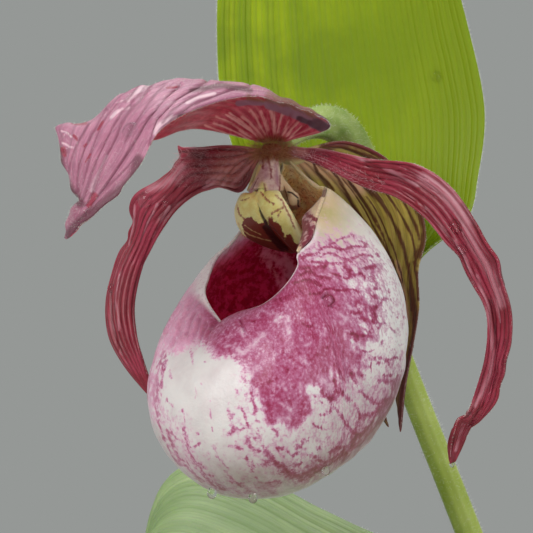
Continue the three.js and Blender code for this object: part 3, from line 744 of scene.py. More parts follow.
# Bract: one upright leaf behind the bloom, its foot rolled round the stem's top. Brighter and
# smoother than the leaves, with veins that run together at its foot, and a fine white fringe.
BRACT = [
    [(22.2, 37.5, -12), 15.6, 322],
    [(20.5, 37.5, -6.5), 16.6, 310],
    [(19.7, 37.8, 0), 25, 200],
    [(19.1, 38.8, 7), 38.4, 104],
    [(17.2, 39.8, 16), 45.6, 78],
    [(15.8, 40.6, 28), 50, 64],
    [(14, 41, 42), 48, 58],
    [(12.3, 40.8, 56), 43, 56],
    [(10.3, 40, 68), 33, 50],
    [(8.5, 38.6, 78), 20, 45],
    [(7, 37.2, 86), 2, 40],
]
bract_surface = across_stem(BRACT, 90, 0, 140, 111, 0.1) + FLOWER
bract = sheet_piece("upright_bract", bract_surface, LEAF_HALF, [bract_green])
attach(bract, "root")
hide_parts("bract")
# Painted shade: the bract darkens towards the viewer's right.
bract_shade = np.clip((bract_surface[..., 0] - FLOWER[0] - 2) / 32, 0, 1)
shade_layer = bract.data.attributes.new("shade", "FLOAT", "POINT")
shade_layer.data.foreach_set("value", np.tile(bract_shade.ravel(), 2).astype(np.float32))
bract_fringe = edge_hairs("fringe_bract", bract_surface, (0, 1), 2600, 0.6, 0.02, pile)
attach(bract_fringe, "root")


# Ovary: the flower's own curved stalk, six-ribbed and furry, arching over from the bract's
# foot to the back of the bloom.
OVARY = [
    (19.3, 34, -3), (19.7, 33.4, 5), (18.6, 31, 13), (16, 26.5, 20.8), (12, 20.5, 25), (7.4, 14.2, 24.9),
    (3.1, 8.6, 21.9),
]
OVARY_RADII = [1.9, 2.1, 2.6, 3.1, 3.2, 2.6, 1.7]
ovary_skin, tree, shader = plant_skin("furry_ovary_skin", ("#7f9a48", "#a8b96c"), 4.0, 0.6, 0.25)
ovary_points, ovary_out, ovary_run = rod_points(OVARY, OVARY_RADII, 120, 48, 1.0, 6, 0.05)
ovary_points = ovary_points + FLOWER
ovary = rod_piece("ribbed_ovary", ovary_points, ovary_run, 120, 48, ovary_skin)
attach(ovary, "root")
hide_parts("ovary")
picked = rng.integers(0, len(ovary_points), 3600)
ways = unit(ovary_out[picked] + rng.normal(scale=0.4, size=(len(picked), 3)))
ovary_pile = hair_coat(
    "ovary_hairs", ovary_points[picked] + rng.normal(scale=0.12, size=ways.shape), ways,
    rng.uniform(0.25, 0.6, len(picked)), 0.016, pile,
)
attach(ovary_pile, "root")


# Upper sepal: a broad pointed hood that arches forward over the slipper. Its outside is dusty
# pink with purple veins, and its inside is dark red with pale stripes fanning from the base.
HOOD_FAR = [
    (-0.6, 7, 21.3), (-10.8, 16, 24), (-15.1, 14, 23.7), (-20.1, 8, 21.8), (-26.6, 0, 23.2),
    (-33.8, -10, 23.4),
    (-33.8, -18, 19.5), (-31.5, -24, 13.5), (-32.6, -29.6, 4.7),
]
HOOD_MID = [
    (1.3, 6, 21.5), (0.9, 5, 28), (-4.5, 1, 29.8), (-9.5, -4, 30), (-15.7, -11, 30.4), (-22.6, -21, 25.8),
    (-26.8, -27, 18.6), (-29.5, -30, 12), (-31.9, -31, 4.6),
]
HOOD_NEAR = [
    (3.2, 5, 21.4), (10.7, -4, 23.5), (5.6, -8, 27), (-2.7, -13, 28.2), (-10.9, -20, 25.9),
    (-17, -30, 21.8),
    (-20.1, -33, 16.1), (-24.5, -34, 10.9), (-31.2, -32.4, 4.7),
]
TEPAL_HALF = 0.3


def ribbon_surface(one, middle, other, rows, columns):
    """A surface held by two margins and a middle line, as points, s and t grids."""
    s, t = np.meshgrid(np.linspace(0, 1, rows), np.linspace(0, 1, columns), indexing="ij")
    fine = np.linspace(0, 1, rows)
    a, m, b = (through(line, fine)[:, None] for line in (one, middle, other))
    k = t[..., None]
    return a * (2 * k - 1) * (k - 1) + m * 4 * k * (1 - k) + b * k * (2 * k - 1), s, t


def raised(surface, height):
    """A surface pushed along its own normals by a grid of heights in millimetres."""
    normal = normals_of(surface)
    return surface + normal * height[..., None]


PICTURE_STEP = 0.17
PICTURE_MIDDLE = 266.5


def seen_at(points):
    """Where the camera sees points, in steps of 0.17 mm across and down from its top left corner."""
    step = PICTURE_STEP * (CAMERA_DISTANCE + points[..., 1]) / CAMERA_DISTANCE
    return np.stack([PICTURE_MIDDLE + points[..., 0] / step, PICTURE_MIDDLE - points[..., 2] / step], -1)


def spots_of(line):
    """The places named in a line of text, as pairs of numbers."""
    return np.array([spot.split(",") for spot in line.split()], dtype=float)


def gap_to(places, a, b):
    """Distance from places to the straight line between two of them."""
    way = b - a
    along = np.clip((places - a) @ way / max(way @ way, 1e-6), 0, 1)
    return np.linalg.norm(places - a - along[..., None] * way, axis=-1)


def stroked(places, strokes, least=-1.0):
    """How deep places lie in drawn strokes: 1 on a line, 0 at its half width, less outside.

    Each line of text is a half width and the places that the stroke runs through.
    """
    depth = np.full(places.shape[:-1], least)
    for line in strokes.strip().splitlines():
        half, spots = line.split(maxsplit=1)
        spots = spots_of(spots)
        for a, b in zip(spots, np.concatenate([spots[1:], spots[-1:]])):
            depth = np.maximum(depth, 1 - gap_to(places, a, b) / float(half))
    return depth


def outlined(places, outline):
    """Distance from places to a drawn outline, positive inside it."""
    spots = spots_of(outline)
    inside = np.zeros(places.shape[:-1], dtype=bool)
    gap = np.full(places.shape[:-1], 1e3)
    for a, b in zip(spots, np.roll(spots, -1, axis=0)):
        gap = np.minimum(gap, gap_to(places, a, b))
        spans = (a[1] > places[..., 1]) != (b[1] > places[..., 1])
        rise = b[1] - a[1] if b[1] != a[1] else 1e-6
        inside ^= spans & (places[..., 0] < a[0] + (places[..., 1] - a[1]) / rise * (b[0] - a[0]))
    return np.where(inside, gap, -gap)


def hollow(places, strokes):
    """A soft furrow along drawn strokes: 1 at its bottom, 0 from its half width on."""
    depth = np.clip(stroked(places, strokes), 0, 1)
    return depth * depth * (3 - 2 * depth)


def washed(places, washes, ground):
    """Soft paint laid on in turn: each line is an amount, a half width and the places it follows."""
    amount = np.full(places.shape[:-1], float(ground))
    for line in washes.strip().splitlines():
        wanted, strokes = line.split(maxsplit=1)
        amount = amount + (float(wanted) - amount) * hollow(places, strokes)
    return amount


def pushed(surface, nudges):
    """Moves a surface in the picture's plane: each line is a place, a shift and its reach."""
    places = seen_at(surface)
    step = PICTURE_STEP * (CAMERA_DISTANCE + surface[..., 1]) / CAMERA_DISTANCE
    for line in nudges.strip().splitlines():
        spots, reach = line.rsplit(maxsplit=1)
        place, shift = spots_of(spots)
        near = np.exp(-((np.linalg.norm(places - place, axis=-1) / float(reach)) ** 2)) * step
        surface = surface + near[..., None] * np.array([shift[0], 0, -shift[1]])
    return surface


def painted(piece, name, values):
    """Stores a number for each point of a piece, for its material to read."""
    layer = piece.data.attributes.new(name, "FLOAT", "POINT")
    layer.data.foreach_set("value", np.asarray(values, dtype=np.float32).ravel())


def drawn_on(piece, surface, **drawings):
    """Stores how deep each point of a sheet lies in each set of drawn strokes."""
    places = seen_at(surface)
    for key, strokes in drawings.items():
        painted(piece, key, np.tile(stroked(places, strokes).ravel(), 2))


def inked(tree, name, noise, ragged=1.0, soft=0.5, most=1.0):
    """Drawn strokes with edges made ragged by a noise, as an amount from 0 to most."""
    shaken = summed(tree, name, (noise, 0.5, ragged))
    return product(tree, (shaken, 0.0, soft, 0, most))


def vein_mask(tree, count, breadth, wobble, wobble_mm, seed):
    """Veins along a petal, 1 on a vein and 0 between, with the sockets that place them."""
    run = add_node(tree, "UVMap", uv_map="run").outputs[0]
    part = add_node(tree, "SeparateXYZ", {0: run})
    place = add_node(tree, "TexCoord").outputs["Object"]
    moved = add_node(tree, "VectorMath", {0: place, 1: (seed, 0, 0)}, operation="ADD").outputs[0]
    wander = add_node(tree, "TexNoise", {"Vector": moved, "Scale": 1000 / wobble_mm, "Detail": 2.0})
    shifted = summed(tree, part.outputs[1], (wander, 0.0, wobble / count))
    counted = product(tree, shifted, float(count))
    wave = add_node(tree, "Math", {0: counted, 1: 0.5}, operation="PINGPONG")
    return product(tree, (wave, 0.0, breadth * 0.5, 1.0, 0.0)), part, run


def petal_finish(shader, tree, colour, height, roughness, glow, bump=0.4, depth=0.00018):
    """Ends a petal's material: colour, fine relief, a soft sheen and light under the skin."""
    wire(shader, {"Base Color": colour})
    relief = add_node(tree, "Bump", {"Height": height, "Strength": bump, "Distance": depth})
    wire(shader, {
        "Normal": relief.outputs[0], "Roughness": roughness, "IOR": 1.4, "Subsurface Weight": glow,
        "Subsurface Radius": (1.0, 0.45, 0.5), "Subsurface Scale": 0.001, "Sheen Weight": 0.12,
        "Sheen Roughness": 0.4,
    })


# How the hood's outline is nudged; then its keel, folds, veins, painted highlights with pale streaks,
# red marks, painted brown shade and rust on its outside, and the stripes inside.
HOOD_NUDGES = """
80,116 0,6 9
91,111 0,8 9
100,108 0,3 7
120,100 0,-5 9
133,94 0,-5 9
146,92 0,-6 8
160,83 0,-2.5 9
175,80 0,-2 9
66,163 -4,0 9
69,200 11,0 8
65,215 4,0 7
63,232 4,0 7
84,226 -3,0 7
115,196 4,0 9
72,234 -2,0 5
59,126 -5,-1 6
280,92 0,5 11
302,100 0,5 10
318,110 0,3 8
72,117 0,4 5
64,241 -1,3 4
"""
HOOD_KEEL = """
5 155,82 146,94 138,105 129,114 122,125 116,140 108,155 101,170 96,183 92,195 87,206
"""
HOOD_FOLDS = """
3.5 208,82 190,92 178,100 165,112 157,120 154,131 150,145
3.5 250,88 232,90 214,98 200,103 190,107 180,115 170,121
3.5 180,86 168,97 158,108 147,122 140,135 130,150 120,165 110,180 100,195 90,208 80,221
3.5 131,105 122,113 113,128 105,145 98,160 92,175 87,190 83,200
3.5 108,110 100,122 93,135 85,150 80,165 78,180 79,192
"""
HOOD_VEINS = """
1.7 155,83 146,94 138,105 129,114 122,125 116,140 108,155 101,170 96,183 92,195 87,206
1.4 208,82 190,92 178,100 165,112 157,120 154,131 150,145
1.4 250,88 232,90 214,98 200,103 190,107 180,115 170,121
1.1 222,83 207,90 195,97 184,103 172,112 162,124
1.4 180,86 168,97 158,108 147,122 140,135 130,150 120,165 110,180 100,195 90,208 80,221
1.1 137,158 128,168 118,178 108,188 98,198 88,211
1.2 131,105 122,113 113,128 105,145 98,160 92,175 87,190 83,200
1.0 120,103 110,115 103,125 97,140 92,155 88,170 84,185
1.2 108,110 100,122 93,135 85,150 80,165 78,180 79,192
1.0 90,125 84,136 77,148 72,162 70,174
1.0 148,85 138,97 130,107
1.0 140,86 132,97 125,104
1.2 165,86 158,93 148,106 140,119 132,131 126,143
"""
# Painted highlights along the hood's edges and ridges, partly the white hairs of its margin.
HOOD_HIGHLIGHTS = """
1.2 84,121 91,120 98,116
1.2 110,98 118,94 127,91 135,87 143,84
2.2 112,119 119,112 129,109
3.2 155,134 160,126 168,120 176,118
1.4 117,105 123,102
2.4 186,104 200,98 214,95
1.5 63,132 68,135 73,138
1.5 64,144 69,147 74,149
3 128,102 140,91 150,86
2.4 92,192 100,172 107,157
"""
HOOD_REDS = """
1.8 72,125 80,126 87,125
3 64,150 66,156
1.8 75,137 78,141
1.5 99,131 104,123
1.2 167,90 176,88
1.5 84,148 87,145
1.2 92,155 87,163
4 95,196 90,206
"""
# Painted shade along the hood's lower edges, its top, its near margin and its right end.
HOOD_SHADE = """
8 140,160 131,180 118,193 104,205 88,216 70,235
17 284,106 302,110 318,118 330,125
4 190,92 222,87 250,92
6 60,150 63,170 72,190 82,204
1.6 178,117 200,110 222,107 245,103 258,103 270,106 285,113 300,121 318,128
5 306,119 318,125 328,127
"""
HOOD_RUST = """
6 268,97 284,101 300,106 314,113
3 248,97 264,100
"""
FAN_STRIPES = """
1.2 205,124 215,129 228,134 240,138 252,143
1.2 214,122 225,126 238,133 250,140
1.3 216,115 228,121 240,129 252,138
1.0 226,113 238,121 250,130
1.3 230,112 242,121 251,129 258,137
1.8 243,117 250,122 257,130 264,138
2.2 252,111 257,117 260,125 266,134
1.5 262,111 266,121 269,131
2.0 272,111 275,121 276,133
1.6 284,114 281,122 279,132
1.5 290,121 287,128 284,135
1.3 299,122 293,129 288,136
1.0 303,126 296,133 290,139
1.0 222,134 235,137 248,142
"""
HOOD_THROAT = "14 264,146 280,146"
# Painted shade, darker still, at the hood's right end.
HOOD_END_SHADE = """
4 300,118 312,123 322,129
6 318,121 326,126 331,129
"""
HOOD_ROLL = """
3.5 238,102 250,101 262,102
7 270,103 285,108 300,114 314,121 328,128
"""
hood_outside, tree, shader = new_material("dusty_pink_sepal")
veins, part, run = vein_mask(tree, 10, 0.5, 1.1, 9.0, 0.0)
threads = grain_along(tree, run, 14.0, 110.0)
cells = speckle(tree, 0.7)
clouds = speckle(tree, 8.0)
streaky = grain_along(tree, run, 20.0, 60.0, 2.0)
colour = over(tree, "#c4859d", "#ae6c86", clouds, 0.35, 0.65)
colour = over(tree, colour, "#965f78", threads, 0.42, 0.66, 0, 0.5)
colour = over(tree, colour, "#85506a", veins, 0, 1, 0, 0.25)
colour = over(tree, colour, "#d0a0b2", cells, 0.5, 0.72, 0, 0.3)
colour = over(tree, colour, "#965a68", part.outputs[0], 0.5, 0.95, 0, 0.3)
# Painted highlights, with some pale streaks, along the drawn strokes.
colour = over(tree, colour, "#edccd5", inked(tree, "lights", streaky, 1.2, 0.8, 0.75))
drawn_veins = summed(tree, "veins", (streaky, 0.5, 1.4), (cells, 0.5, 0.8))
colour = over(tree, colour, "#84485f", drawn_veins, -0.9, 0.9, 0, 0.75)
# Painted shade along the drawn strokes.
colour = over(tree, colour, "#582834", inked(tree, "shade", clouds, 0.8, 0.8, 0.78))
# Painted shade, darker still, at the hood's right end.
colour = over(tree, colour, "#30141c", inked(tree, "dusk", clouds, 0.8, 0.9, 0.92))
colour = over(tree, colour, "#7e4c36", inked(tree, "rust", cells, 2.4, 1.0, 0.75))
colour = over(tree, colour, "#96203a", inked(tree, "reds", cells, 0.8, 0.5, 0.8))
relief = summed(tree, threads, (veins, 0.0, -0.6))
petal_finish(shader, tree, colour, relief, 0.42, 0.22, 0.6, 0.0003)
wire(shader, {"Sheen Weight": 0.04})

hood_inside, tree, shader = new_material("striped_red_sepal_lining")
stripes, part, run = vein_mask(tree, 15, 0.75, 0.5, 8.0, 0.1)
clouds = speckle(tree, 1.2)
threads = grain_along(tree, run, 8.0, 90.0)
colour = over(tree, "#ac2440", "#cc4e66", clouds, 0.35, 0.7)
colour = over(tree, colour, "#7a0e22", threads, 0.5, 0.66, 0, 0.5)
near_foot = product(tree, stripes, (part.outputs[0], 0.05, 0.5, 0.6, 0), (threads, 0.4, 0.6))
colour = over(tree, colour, "#d98c8c", near_foot)
drawn_stripes = summed(tree, "stripes", (threads, 0.5, 3.0), (clouds, 0.5, 2.0))
colour = over(tree, colour, "#eab4ae", drawn_stripes, -0.45, 1.0, 0, 0.8)
colour = over(tree, colour, "#86182c", part.outputs[0], 0.35, 0.9, 0, 0.3)
colour = over(tree, colour, "#94687c", inked(tree, "roll", clouds, 0.5, 0.3, 0.92))
# Painted shade at the right end of the lining too.
colour = over(tree, colour, "#4c2636", inked(tree, "dusk", clouds, 0.6, 0.6, 0.85))
colour = over(tree, colour, "#8c5a3c", inked(tree, "rust", clouds, 1.6, 0.8, 0.8))
colour = over(tree, colour, "#94522a", inked(tree, "throat", clouds, 0.8, 0.7, 0.85))
petal_finish(shader, tree, colour, clouds, 0.45, 0.4)
wire(shader, {"Subsurface Radius": (1.6, 0.5, 0.5)})

hood_surface, hood_s, hood_t = ribbon_surface(HOOD_FAR, HOOD_MID, HOOD_NEAR, 170, 131)
hood_fade = np.clip(hood_s / 0.12, 0, 1) * np.clip((1 - hood_s) / 0.1, 0, 1)
hood_fade = hood_fade * np.clip(np.minimum(hood_t, 1 - hood_t) / 0.07, 0, 1)
outward = np.sign(normals_of(hood_surface)[60, 60, 2])
hood_places = seen_at(hood_surface)
quilting = -0.1 * np.cos(2 * math.pi * 10 * hood_t + 0.5 * np.sin(7 * hood_s))
quilting = quilting + 0.1 * np.sin(21 * hood_s + 9 * hood_t)
quilting = quilting - 0.45 * hollow(hood_places, HOOD_KEEL) - 0.42 * hollow(hood_places, HOOD_FOLDS)
hood_surface = pushed(raised(hood_surface, outward * hood_fade * quilting), HOOD_NUDGES)
hood = sheet_piece("hooded_sepal", hood_surface + FLOWER, TEPAL_HALF, [hood_outside, hood_inside])
drawn_on(
    hood, hood_surface, veins=HOOD_VEINS, lights=HOOD_HIGHLIGHTS, reds=HOOD_REDS, shade=HOOD_SHADE,
    rust=HOOD_RUST, stripes=FAN_STRIPES, throat=HOOD_THROAT, dusk=HOOD_END_SHADE, roll=HOOD_ROLL,
)
hood_surface = hood_surface + FLOWER
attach(hood, "root")
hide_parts("dorsal_sepal")
hood_fringe = edge_hairs("fringe_hood", hood_surface, (0, 1), 1100, 0.5, 0.018, pile)
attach(hood_fringe, "root")
hood_normal = normals_of(hood_surface) * outward
i, j = rng.integers(50, 165, 2600), rng.integers(2, 129, 2600)
ways = unit(hood_normal[i, j] + rng.normal(scale=0.4, size=(2600, 3)))
roots = hood_surface[i, j] + hood_normal[i, j] * 0.2 + rng.normal(scale=0.1, size=(2600, 3))
hood_down = hair_coat("down_hood", roots, ways, rng.uniform(0.25, 0.55, 2600), 0.014, pile)
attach(hood_down, "root")


# Petals: two long tapering straps, one swept back to the left and one twisting down on the
# right. Wine red and glossy, ribbed lengthwise with paler mauve between the ribs that is partly
# painted highlight and sheen, and woolly with curled hairs where they leave the flower.
LEFT_OUTER = [
    (-0.7, 7.8, 20.3), (-5.5, 11, 20.9), (-10.7, 14, 20.9), (-15.6, 18, 20.4), (-18.8, 20, 15.6),
    (-23.3, 22, 12.2), (-24.5, 23, 6.5), (-27.3, 23, 0.1), (-28.7, 22, -5.9), (-27.7, 20, -12.1),
    (-24.3, 17.5, -17.7), (-20.9, 15.5, -22.3),
]
LEFT_INNER = [
    (-1.1, 7.2, 18.6), (-3.2, 9.6, 14.6), (-7.2, 12, 13.3), (-11.6, 15, 12.8), (-15.6, 17, 10),
    (-18.4, 18, 6.4),
    (-20.6, 19, 2.6), (-22.1, 19, -1), (-23.2, 18, -6.8), (-22.7, 16.5, -12), (-21.4, 15.2, -16.7),
    (-20, 15.2, -21.9),
]
RIGHT_OUTER = [
    (4, 6, 20.6), (10.8, 1, 19.7), (18.2, -6, 18), (24.6, -12, 16.8), (30.2, -16, 12.8), (34.9, -19, 6),
    (38.1, -20, -0.6), (40.1, -20, -7.4), (39.6, -18, -14.5), (37.9, -16, -21.4), (35.6, -13.6, -25.2),
    (33.6, -13, -26.9), (32.6, -13.2, -29), (31, -13.5, -32.4),
]
RIGHT_INNER = [
    (3.6, 5.6, 19.4), (8.8, 0.4, 17.1), (16.1, -5, 13.4), (21.4, -10, 11.7), (26.2, -14, 8.2),
    (29.8, -17, 3.2),
    (33.4, -18, -2.7), (35.8, -18, -7.9), (36, -17, -15), (34.6, -15.5, -21.2), (33.2, -16, -24.2),
    (31.2, -16, -25.2), (30.3, -15, -28.4), (30.4, -14, -32.6),
]


def bowed(one, other, push):
    """Middle line between two margins, pushed off their chord."""
    one, other = np.array(one), np.array(other)
    along = np.sin(math.pi * np.arange(len(one)) / (len(one) - 1))[:, None]
    return (one + other) / 2 + np.array(push) * along


LEFT_NUDGES = """
172,157 7,0 8
165,169 6,-1 7
128,222 5,0 8
124,240 4,0 8
"""
RIGHT_NUDGES = """
453,258 4,0 12
494,260 4,0 12
507,362 -3,0 12
503,385 -3,0 10
"""
LEFT_DARKS = """
3.5 206,184 190,193 175,204 163,218 152,240 142,264
2.0 178,186 166,198 152,218 142,240 133,262
4.5 252,170 244,182 236,190 228,188
2.0 222,151 236,151 252,152 258,156
2.0 250,160 240,168 230,178
1.2 244,160 232,170 220,183
4.0 182,152 192,154 204,156
1.4 150,205 141,228 133,250 124,270
2.0 112,290 114,320 122,350
"""
# Painted highlights and sheen on the left petal, with its paler ribs and pale rim.
LEFT_HIGHLIGHTS_AND_PALE_RIBS = """
1.3 177,144 184,148 195,149 206,149 218,147 230,146 243,147 255,150
1.7 237,159 226,172 213,183 204,188
1.7 243,163 233,175 223,185
2.2 249,166 241,176 233,184
1.5 230,161 217,175 207,183
7.0 150,190 163,186 176,178 183,168
1.5 170,206 161,222 153,238
1.3 158,204 149,222 141,242
1.4 136,205 135,225 130,246
1.5 120,275 117,300 120,330
"""
PETAL_FOOT = """
24 258,152 242,162 226,174
9 285,151 304,152
"""
RIGHT_DARKS = """
2.5 365,163 385,163 405,165 422,171
6 372,168 395,176 415,188
1.0 340,156 370,168 400,181 425,196 440,210
1.2 330,157 360,170 390,185 415,201
1.0 372,164 398,171 420,181 440,195
1.0 380,160 405,168 428,179
3.5 463,204 473,219 481,238 495,262 501,285
2.8 424,208 440,226 455,247 465,265 476,292 483,316
1.2 436,196 450,212 462,236
1.4 462,236 476,262 487,288
3.0 490,300 493,322 498,345 497,372 492,392
2.5 484,330 485,350 482,375 474,395
2.5 507,340 504,365 497,388
2.5 455,418 463,414 470,413
2.0 471,424 471,431 466,437
3.0 452,430 451,445 451,458
2.0 484,402 474,414 468,424
"""
# Painted highlights and sheen on the right petal, with its paler ribs and pale upper edge.
RIGHT_HIGHLIGHTS_AND_PALE_RIBS = """
3.4 318,148 330,149 345,152 356,156 364,160
0.9 362,160 376,160 395,159 410,162 425,168 440,178 456,192 470,208
11 425,178 443,192 458,206 468,222
8 466,224 478,250 492,276 501,304
3 476,276 486,304 490,330 492,352 489,372 482,392 474,406
1.4 496,298 498,310 501,323
2 384,168 402,176 418,186
2 455,240 466,262 474,284
2 462,424 457,438 455,450
"""


def petal_skin(name, ribs, seed):
    """Wine-red petal tissue with dark ribs and mauve between them, pale at the foot, and painted
    highlights.
    """
    material, tree, shader = new_material(name)
    dark_ribs, _, run = vein_mask(tree, ribs, 0.85, 0.9, 7.0, seed)
    threads = grain_along(tree, run, 11.0, 34.0)
    cells = speckle(tree, 0.5)
    clouds = speckle(tree, 6.0)
    colour = over(tree, "#9a3046", "#86202e", clouds, 0.35, 0.65)
    colour = over(tree, colour, "#c87c70", inked(tree, "foot", clouds, 0.6, 1.0, 0.75))
    colour = over(tree, colour, "#6c1424", threads, 0.4, 0.62, 0, 0.6)
    colour = over(tree, colour, "#580a1a", dark_ribs, 0, 1, 0, 0.4)
    # Painted highlights and sheen, with the paler ribs, along the drawn strokes.
    colour = over(tree, colour, "#c68894", inked(tree, "lights", threads, 1.8, 1.2, 0.68))
    colour = over(tree, colour, "#520816", inked(tree, "darks", threads, 1.8, 1.2, 0.65))
    colour = over(tree, colour, "#d08a80", inked(tree, "foot", threads, 2.0, 1.2, 0.35))
    colour = over(tree, colour, "#b56f7a", cells, 0.52, 0.75, 0, 0.15)
    relief = summed(tree, threads, (dark_ribs, 0.0, -0.6))
    petal_finish(shader, tree, colour, relief, 0.38, 0.15, 0.55, 0.0003)
    wire(shader, {"Sheen Weight": 0.04, "Coat Weight": 0.1, "Coat Roughness": 0.2})
    return material


wine_petal = petal_skin("wine_red_petal", 6, 0.2)
PETALS = [
    ("petal_left", LEFT_OUTER, LEFT_INNER, (0, -1.5, 0), LEFT_DARKS, LEFT_HIGHLIGHTS_AND_PALE_RIBS, LEFT_NUDGES),
    ("petal_right", RIGHT_OUTER, RIGHT_INNER, (0, 1.5, 0), RIGHT_DARKS, RIGHT_HIGHLIGHTS_AND_PALE_RIBS, RIGHT_NUDGES),
]
petal_surfaces = {}
for node_name, outer, inner, push, darks, lights, nudges in PETALS:
    surface, s, t = ribbon_surface(outer, bowed(outer, inner, push), inner, 190, 61)
    if node_name == "petal_left":
        # The back petal's upper margin is drawn out to a small pointed ear, and its lower
        # margin droops in a round lobe beside the column.
        ear = np.exp(-np.abs(s - 0.273) / 0.014) * np.clip(1 - t / 0.4, 0, 1) ** 2
        lobe = np.exp(-(((s - 0.12) / 0.04) ** 2)) * np.clip(t / 0.8, 0, 1) ** 2
        nick = np.exp(-(((s - 0.205) / 0.03) ** 2)) * np.clip((t - 0.5) / 0.5, 0, 1) ** 2
        surface = surface + ear[..., None] * np.array([-0.3, 0, 1.2])
        surface = surface - lobe[..., None] * np.array([0, 0, 1.0])
        surface = surface + nick[..., None] * np.array([0, 0, 0.5])
    body = np.clip(s / 0.06, 0, 1) * np.clip((1 - s) / 0.05, 0, 1)
    body = body * np.clip(np.minimum(t, 1 - t) / 0.1, 0, 1)
    ribs = 0.12 * np.cos(2 * math.pi * 6 * t) + 0.22 * np.sin(9 * s + 2 * t)
    ribs = ribs - 0.3 * hollow(seen_at(surface), darks) + 0.15 * hollow(seen_at(surface), lights)
    curl = 0.5 * (2 * t - 1) ** 2 * np.sin(15 * s + 0.6)
    ends = np.clip(s / 0.1, 0, 1) * np.clip((1 - s) / 0.1, 0, 1)
    towards = np.sign(-normals_of(surface)[95, 30, 1])
    surface = pushed(raised(surface, towards * (body * ribs + ends * curl)), nudges)
    petal = sheet_piece("ribbed_" + node_name, surface + FLOWER, TEPAL_HALF, [wine_petal])
    drawn_on(petal, surface, darks=darks, lights=lights, foot=PETAL_FOOT)
    petal_surfaces[node_name] = surface + FLOWER
    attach(petal, "root")
    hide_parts(node_name)

wool, tree, shader = new_material("pinkish_wool_hair")
wire(shader, {
    "Base Color": linear("#c58f94"), "Roughness": 0.55, "Subsurface Weight": 0.3,
    "Subsurface Radius": (0.5, 0.4, 0.4), "Subsurface Scale": 0.0005,
})


def wool_on(name, surface, rows, columns, count, longest, material, thickness=0.03):
    """Curled hairs on one face of a sheet, between the given rows and columns of its grid."""
    normal = normals_of(surface)
    towards_viewer = np.sign(-normal[..., 1:2]) * normal
    last_row, last_column = surface.shape[0] - 1, surface.shape[1] - 1
    i = (rng.uniform(*rows, count) * last_row).astype(int)
    j = (rng.uniform(*columns, count) * last_column).astype(int)
    step = rng.normal(scale=0.12, size=(count, 3))
    ways = unit(towards_viewer[i, j] + rng.normal(scale=0.75, size=(count, 3)))
    roots = surface[i, j] + step * 0.5
    return hair_coat(name, roots, ways, rng.uniform(0.4, 1.0, count) * longest, thickness, material, True)


WOOL = [
    ("wool_petal_left", "petal_left", (0.05, 0.32), (0.06, 0.8), 900, 2.0),
    ("wool_petal_right", "petal_right", (0.02, 0.2), (0.6, 1.0), 420, 1.6),
]
for wool_name, node_name, rows, columns, count, longest in WOOL:
    woolly = wool_on(wool_name, petal_surfaces[node_name], rows, columns, count, longest, wool)
    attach(woolly, "root")
for node_name in petal_surfaces:
    fringe = edge_hairs("fringe_" + node_name, petal_surfaces[node_name], (0, 1), 450, 0.4, 0.016, pile)
    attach(fringe, "root")


# Lower sepals: two grown into one cupped blade behind the slipper, parted only at the tip.
# Olive, with close lines of dark maroon that run together into a maroon tip.
LOWER_RIGHT = [
    (6.2, 11.8, 20.2), (13.7, 15, 21.9), (20.8, 17, 19.2), (26.1, 18, 13.1), (28, 17, 5.5),
    (26.6, 16, -0.5),
    (26.7, 15.5, -7), (25.6, 15, -14), (24.2, 14.4, -21), (23.4, 14.2, -28.9),
]
LOWER_MID = [
    (5, 12.2, 19.4), (8.6, 17.6, 18.6), (13, 22, 15), (17, 24.6, 9), (18.8, 25.4, 2), (19.2, 25, -5),
    (20, 23.6, -11), (20.8, 21, -17), (21.6, 18, -23), (22.4, 15.6, -28.6),
]
LOWER_LEFT = [
    (3.4, 12.4, 18.8), (1.6, 18.6, 17.4), (0.4, 22.8, 13.4), (1.6, 26.4, 7), (4.4, 28.4, 0), (7, 28.8, -7),
    (10.4, 28.6, -13), (14.4, 25.4, -18.4), (18.4, 20.6, -23.6), (21.4, 17, -28.2),
]
SEPAL_LINES = """
1.1 312,162 318,172 327,181 334,190
1.5 330,168 338,178 346,191 352,202 359,213 368,226 378,243 388,262 396,280 402,300 406,330
1.1 342,178 352,190 362,205 372,222 380,237 388,252 395,266 401,282 406,300
0.9 350,182 360,195 370,210 379,228 387,245 394,262
0.8 346,176 356,188 366,202 376,219 384,236
2.0 360,180 370,190 381,202 391,216 399,232 405,250 409,266 412,286 413,310
1.2 344,165 358,175 372,188 383,201
1.4 384,190 395,205 405,220 412,235 416,250 417,266
1.9 400,195 409,210 417,226 421,240
4.0 413,200 421,214 426,230 424,244 419,256
0.9 366,196 376,210 385,226 393,246 399,263 404,282
3.5 412,290 416,312 416,336 412,352 408,372 403,392 400,432
3.0 388,410 391,424 391,436
1.2 415,262 418,280 419,300
2.8 322,146 345,141 368,149 385,157
2.0 318,149 342,146 362,153 378,159
"""
# The sepal's foot is pale tan, painted paler than its own colour as painted light where the right petal
# shades it; a second stroke lays a narrow pale band lower down.
SEPAL_FOOT = """
20 300,156 322,164 340,172 358,182
4 398,262 404,290 409,320
"""
SEPAL_WINE = "7 330,143 350,141 370,147 390,157"
sepal_skin, tree, shader = new_material("olive_striped_sepal")
stripes, part, run = vein_mask(tree, 12, 0.6, 0.35, 9.0, 0.7)
clouds = speckle(tree, 5.0, 4.0, 0.5)
cells = speckle(tree, 0.8, 4.0, 0.5)
threads = grain_along(tree, run, 6.0, 70.0)
colour = over(tree, "#bda84e", "#a08e42", clouds, 0.35, 0.65)
colour = over(tree, colour, "#97a53c", part.outputs[1], 0.05, 0.5, 0.5, 0)
colour = over(tree, colour, "#7a5a30", threads, 0.45, 0.65, 0, 0.5)
hidden = product(tree, (stripes, 0, 1, 0, 0.8), summed(tree, 1.0, ("front", 0.0, -1.0)))
colour = over(tree, colour, "#511624", hidden)
